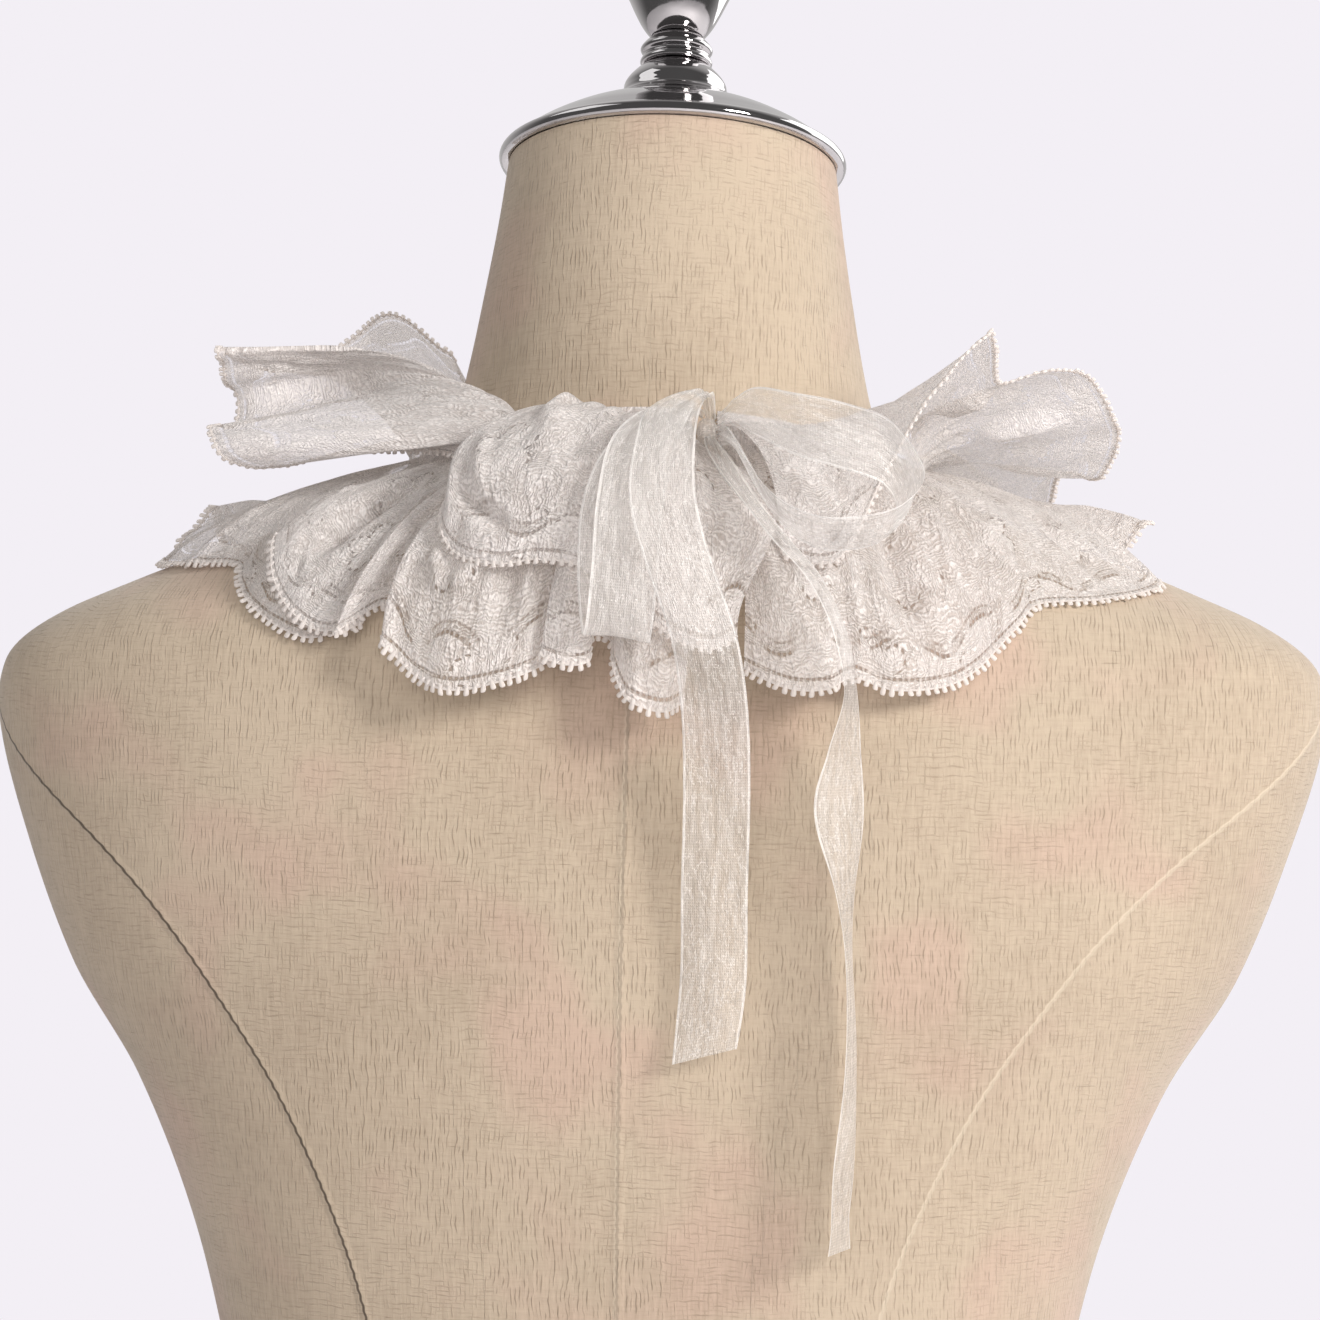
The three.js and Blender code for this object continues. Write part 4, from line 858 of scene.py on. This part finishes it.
def make_picots(name, grid, reach):
    """The lace's looped edge: a tooth of thread every few millimetres and a cord behind them."""
    edge, inside = grid[:, -1], grid[:, -2]
    at = resample(edge, PICOT_PITCH)
    middle = pick(edge, at)
    tangent = unit(pick(np.gradient(edge, axis=0), at))
    outward = middle - pick(inside, at)
    outward = unit(outward - tangent * (outward * tangent).sum(-1, keepdims=True))
    normal = np.cross(tangent, outward)
    tilt = rng.normal(0, 0.13, (len(at), 2))
    outward = unit(outward + normal * tilt[:, :1] + tangent * tilt[:, 1:])
    outward = outward * reach * rng.uniform(0.8, 1.1, (len(at), 1))
    sides, cord_sides = 8, 5
    turn = full_turn(sides)[:, None]
    half_width = PICOT_HALF_WIDTH * np.cos(turn) * tangent[:, None]
    half_depth = PICOT_HALF_DEPTH * np.sin(turn) * normal[:, None]
    rings = [(middle + outward * k)[:, None] + half_width * wide + half_depth * thick for k, wide, thick in PICOT_RINGS]
    teeth = np.stack(rings, 2).reshape(-1, 3)
    points = np.concatenate([teeth, cord(edge, CORD_RADIUS, cord_sides).reshape(-1, 3)])
    faces = closed_faces(cord_sides, len(edge), start=len(teeth))
    for first in range(0, len(teeth), len(rings) * sides):
        faces += closed_faces(sides, len(rings), start=first)
    return add_mesh(name, points, faces, THREAD)


# ---------- ribbon bow ----------
RIBBON_COLUMNS = "x y z swing tip wide"
LOOP_LEFT = table(RIBBON_COLUMNS, [
    (-16.2, 50.5, 642.4, 90, 0, 0.22), (-12.5, 57.5, 643, 90, 0, 0.4), (-6, 74, 637.5, 85, 0, 0.8),
    (-1, 89, 628.5, 90, 0, 1), (3, 98.5, 614, 90, 0, 1), (3.5, 102.5, 597, 90, 0, 1), (2.5, 104.5, 583, 90, 2, 1),
    (1, 107.5, 576.5, 90, 4, 1), (-0.5, 110.5, 583, 90, 6, 1), (-1.5, 109.5, 597, 90, 6, 1),
    (-2, 104.5, 614, 90, 5, 1), (-4, 93, 630.5, 90, 5, 1), (-8, 76, 640, 85, 5, 0.8), (-12.5, 60.5, 645.4, 90, 0, 0.4),
    (-14.3, 54, 644.8, 90, 0, 0.2),
])
LOOP_RIGHT = table(RIBBON_COLUMNS, [
    (-22.4, 49.5, 640.5, 0, 70, 0.2), (-27, 60, 643, 0, 50, 0.45), (-36, 80, 642, 0, 55, 0.85),
    (-48, 95, 637.5, 0, 68, 1), (-64, 99.5, 633.5, -5, 80, 1), (-75, 99.5, 629, -20, 70, 1),
    (-81.5, 98, 618, -35, 42, 1), (-77, 102, 610, -20, 30, 1), (-67, 106, 606.5, -5, 28, 1),
    (-54, 108, 606.5, 0, 28, 1), (-42, 104, 614, 10, 30, 0.95), (-30.5, 83, 632.5, 20, 35, 0.6),
    (-23, 54.5, 636, 20, 70, 0.2),
])
TAIL_LONG = table(RIBBON_COLUMNS, [
    (-20, 51.2, 641, 90, 0, 0.16), (-18.5, 58, 648.4, 90, 0, 0.3), (-12, 77, 643.6, 90, 0, 0.8),
    (-11, 95, 633.5, 90, 0, 0.9), (-11.5, 107.5, 616, 90, 0, 1), (-17, 113.5, 597, 90, 0, 1),
    (-24, 113, 577, 90, 0, 1), (-27, 107.5, 556, 90, 0, 1), (-27.5, 101.5, 532, 90, 0, 1), (-27, 99, 505, 90, 0, 1),
    (-27, 99, 480, 90, 0, 1), (-25, 100.5, 458, 90, -15, 1),
])
TAIL_SIDE = table(RIBBON_COLUMNS, [
    (-20.9, 54.5, 634.5, 70, 0, 0.14), (-22.2, 68, 632.4, 60, 0, 0.25), (-32, 87, 620, 40, 0, 0.4),
    (-45, 100, 604, 25, 0, 0.6), (-55, 107, 593, 15, 0, 0.85), (-63, 109, 578, 8, 0, 1), (-66, 108, 562, 6, 0, 1),
    (-64, 105, 545, 30, 0, 1), (-62.5, 103, 529, 45, 0, 1), (-64.5, 104, 507, 12, 0, 1), (-67, 104, 477, 6, 0, 1),
    (-66.5, 104, 447, 8, 0, 1), (-64, 103, 404, 16, 0, 1),
])


def make_ribbon(name, node, rows, seed):
    """A stretch of ribbon along its rows, pleated where it is gathered up at the knot."""
    per_row, columns = 14, 21
    row = along_rows(rows, per_row)
    swing, tip, wide = np.radians(row["swing"]), np.radians(row["tip"]), row["wide"][:, None]
    across = np.stack([np.sin(swing) * np.cos(tip), np.cos(swing) * np.cos(tip), np.sin(tip)], -1)
    line = np.stack([row["x"], row["y"], row["z"]], -1)
    s = np.linspace(-1, 1, columns)
    grid = line[:, None] + across[:, None] * (RIBBON_WIDTH / 2 * wide * s)[..., None]
    run = line_length(line)[:, None]
    draw = np.random.default_rng(seed)
    pleats = np.cos(s * 3 * np.pi + draw.uniform(0, 1)) * np.clip(1 - wide, 0, 1) * PLEAT_DEPTH
    creases = np.zeros_like(pleats)
    for _ in range(4):
        slant = draw.uniform(-4, 4)
        creases += 0.35 * np.sin(run / draw.uniform(7, 16) + s * slant + draw.uniform(0, 6.28))
    cup = 0.8 * (s**2 - 0.4)
    fade = smooth(0, 12, run) * smooth(0, 12, run[-1] - run)
    grid = grid + grid_normals(grid) * (pleats + (creases + cup) * fade)[..., None]
    values = {"along": run, "across": s * RIBBON_WIDTH / 2}
    piece = add_mesh(name, grid, grid_faces(*grid.shape[:2]), ORGANZA, values)
    declare(piece, node)


def make_knot():
    """The bow's knot: ribbon wound tight, its folds running round it."""
    rings, sides, pole = 40, 56, 0.06
    centre_z = neckline(KNOT["at"]) - BAND_HEIGHT / 2
    band = on_form(centre_z, KNOT["at"], BAND_STAND_OFF)
    radius = np.hypot(band[0], band[1] - NECK_AXIS_Y) + GAP + KNOT["depth"] / 2
    angle = math.radians(KNOT["at"])
    centre = (radius * math.sin(angle), NECK_AXIS_Y + radius * math.cos(angle), centre_z)
    tilt, turn = np.linspace(pole, np.pi - pole, rings), full_turn(sides)[:, None]
    fold = 1 + 0.07 * np.sin(3 * turn + 9 * tilt) + 0.05 * np.sin(7 * tilt + 2 * np.sin(turn))
    reach = KNOT["slack"] * fold * np.sin(tilt) ** 0.7 / 2
    x = reach * np.cos(turn) * KNOT["width"]
    y = reach * np.sin(turn) * KNOT["depth"]
    z = np.cos(tilt) * KNOT["height"] / 2
    points = np.stack(np.broadcast_arrays(x, y, z), -1) + centre
    values = {"along": tilt * 6, "across": turn * 1.4}
    declare(add_mesh("knot_wrap", points, closed_faces(sides, rings), ORGANZA, values), "bow_knot")


# ---------- stage ----------
LAMPS = (
    # place and size in metres, power, colour, and whether the chrome shows the lamp
    ("key", (-1.3, 1.15, 1.2), 0.45, 30, (1, 0.975, 0.95), True),
    ("above", (1.2, 0.2, 2.0), 1.0, 3.5, (1, 1, 1), True),
    ("behind", (-1.4, -1.1, 1.2), 1.8, 20, (1, 1, 1), True),
    ("fill", (0.1, 1.9, 1.1), 1.2, 13, (1, 0.99, 0.98), False),
    ("front", (0.3, -1.9, 1.1), 1.5, 14, (1, 0.985, 0.97), False),
)
LAMP_TARGET = Vector((0, 0, 0.6))
CAMERA_TARGET = Vector((0, 0, 0.570))
CAMERA_DISTANCE = 1.3
CAMERA_AZIMUTH = math.radians(185.5)
CAMERA_ROLL = math.radians(0.8)
CAMERA_LENS = 115.5
CAMERA_SHIFT = 0.003


def make_stage():
    bpy.ops.mesh.primitive_circle_add(vertices=96, radius=FLOOR_RADIUS, fill_type="NGON", location=(0, 0, 0))
    floor = bpy.context.object
    floor.name = "floor"
    floor.data.materials.append(floor_material())


def room(t, direction, low, high, dark, bright):
    """Light that grows from dark to bright toward one direction."""
    place = t.add("TexCoord").outputs["Generated"]
    toward = t.add("VectorMath", {0: place, 1: Vector(direction).normalized()}, operation="DOT_PRODUCT")
    strength = t.step(toward.outputs["Value"], low, high, dark, bright)
    return t.add("Background", {"Color": ROOM_COLOUR, "Strength": strength})


def make_world():
    """A pale studio: seen plain, lit more from above, and mirrored as a dark room in front of a white wall."""
    world = bpy.data.worlds.new("studio")
    bpy.context.scene.world = world
    t = Tree(world, "OutputWorld")
    light = room(t, (-0.25, 0.35, 0.95), low=-0.9, high=0.9, dark=0.17, bright=0.42)
    mirrored = room(t, (0, -1, 0.1), low=-0.1, high=1.0, dark=0.1, bright=0.62)
    seen = t.add("Background", {"Color": BACKDROP_COLOUR})
    ray = t.add("LightPath").outputs
    lit = t.add("MixShader", {0: ray["Is Glossy Ray"], 1: light, 2: mirrored})
    t.finish(t.add("MixShader", {0: ray["Is Camera Ray"], 1: lit, 2: seen}))


def add_lamp(name, place, size, power, colour, mirrored):
    data = bpy.data.lights.new(name, "AREA")
    data.size = size
    data.energy = power
    data.color = colour
    lamp = bpy.data.objects.new(name, data)
    lamp.location = place
    lamp.rotation_euler = (LAMP_TARGET - Vector(place)).to_track_quat("-Z", "Y").to_euler()
    lamp.visible_glossy = mirrored
    bpy.context.scene.collection.objects.link(lamp)


def make_camera():
    """Level, behind the form and a little to its right, rolled a touch as the form leans in view."""
    away = Vector((math.sin(CAMERA_AZIMUTH), -math.cos(CAMERA_AZIMUTH), 0))
    data = bpy.data.cameras.new("camera")
    data.sensor_width = 36
    data.lens = CAMERA_LENS
    data.shift_x = CAMERA_SHIFT
    camera = bpy.data.objects.new("camera", data)
    upward = Vector((0, 0, 1))
    turn = Matrix(((-away).cross(upward), upward, away)).transposed().to_4x4()
    place = Matrix.Translation(CAMERA_TARGET + away * CAMERA_DISTANCE)
    camera.matrix_world = place @ turn @ Matrix.Rotation(CAMERA_ROLL, 4, "Z")
    bpy.context.scene.collection.objects.link(camera)
    bpy.context.scene.camera = camera


def make_light():
    scene = bpy.context.scene
    scene.view_settings.view_transform = "Standard"
    scene.cycles.transparent_max_bounces = 32
    scene.cycles.use_denoising = True
    make_world()
    for lamp in LAMPS:
        add_lamp(*lamp)


make_camera()
make_stage()
make_light()
make_form()
make_neck_cap()
make_neckband()
make_ruffle(
    "upper_tier", "upper_ruffle", UPPER_FOLDS, UPPER_CREASES,
    root_below=1.5, width=73.0, seed=3, reach=1.3,
)
make_ruffle(
    "lower_tier", "lower_ruffle", LOWER_FOLDS, LOWER_CREASES,
    root_below=6.0, width=92.0, seed=5, reach=2.0,
)
make_knot()
make_ribbon("bow_loop_hanging", "bow_loop_left", LOOP_LEFT, 11)
make_ribbon("bow_loop_open", "bow_loop_right", LOOP_RIGHT, 12)
make_ribbon("ribbon_end_long", "ribbon_tail_long", TAIL_LONG, 13)
make_ribbon("ribbon_end_side", "ribbon_tail_side", TAIL_SIDE, 14)
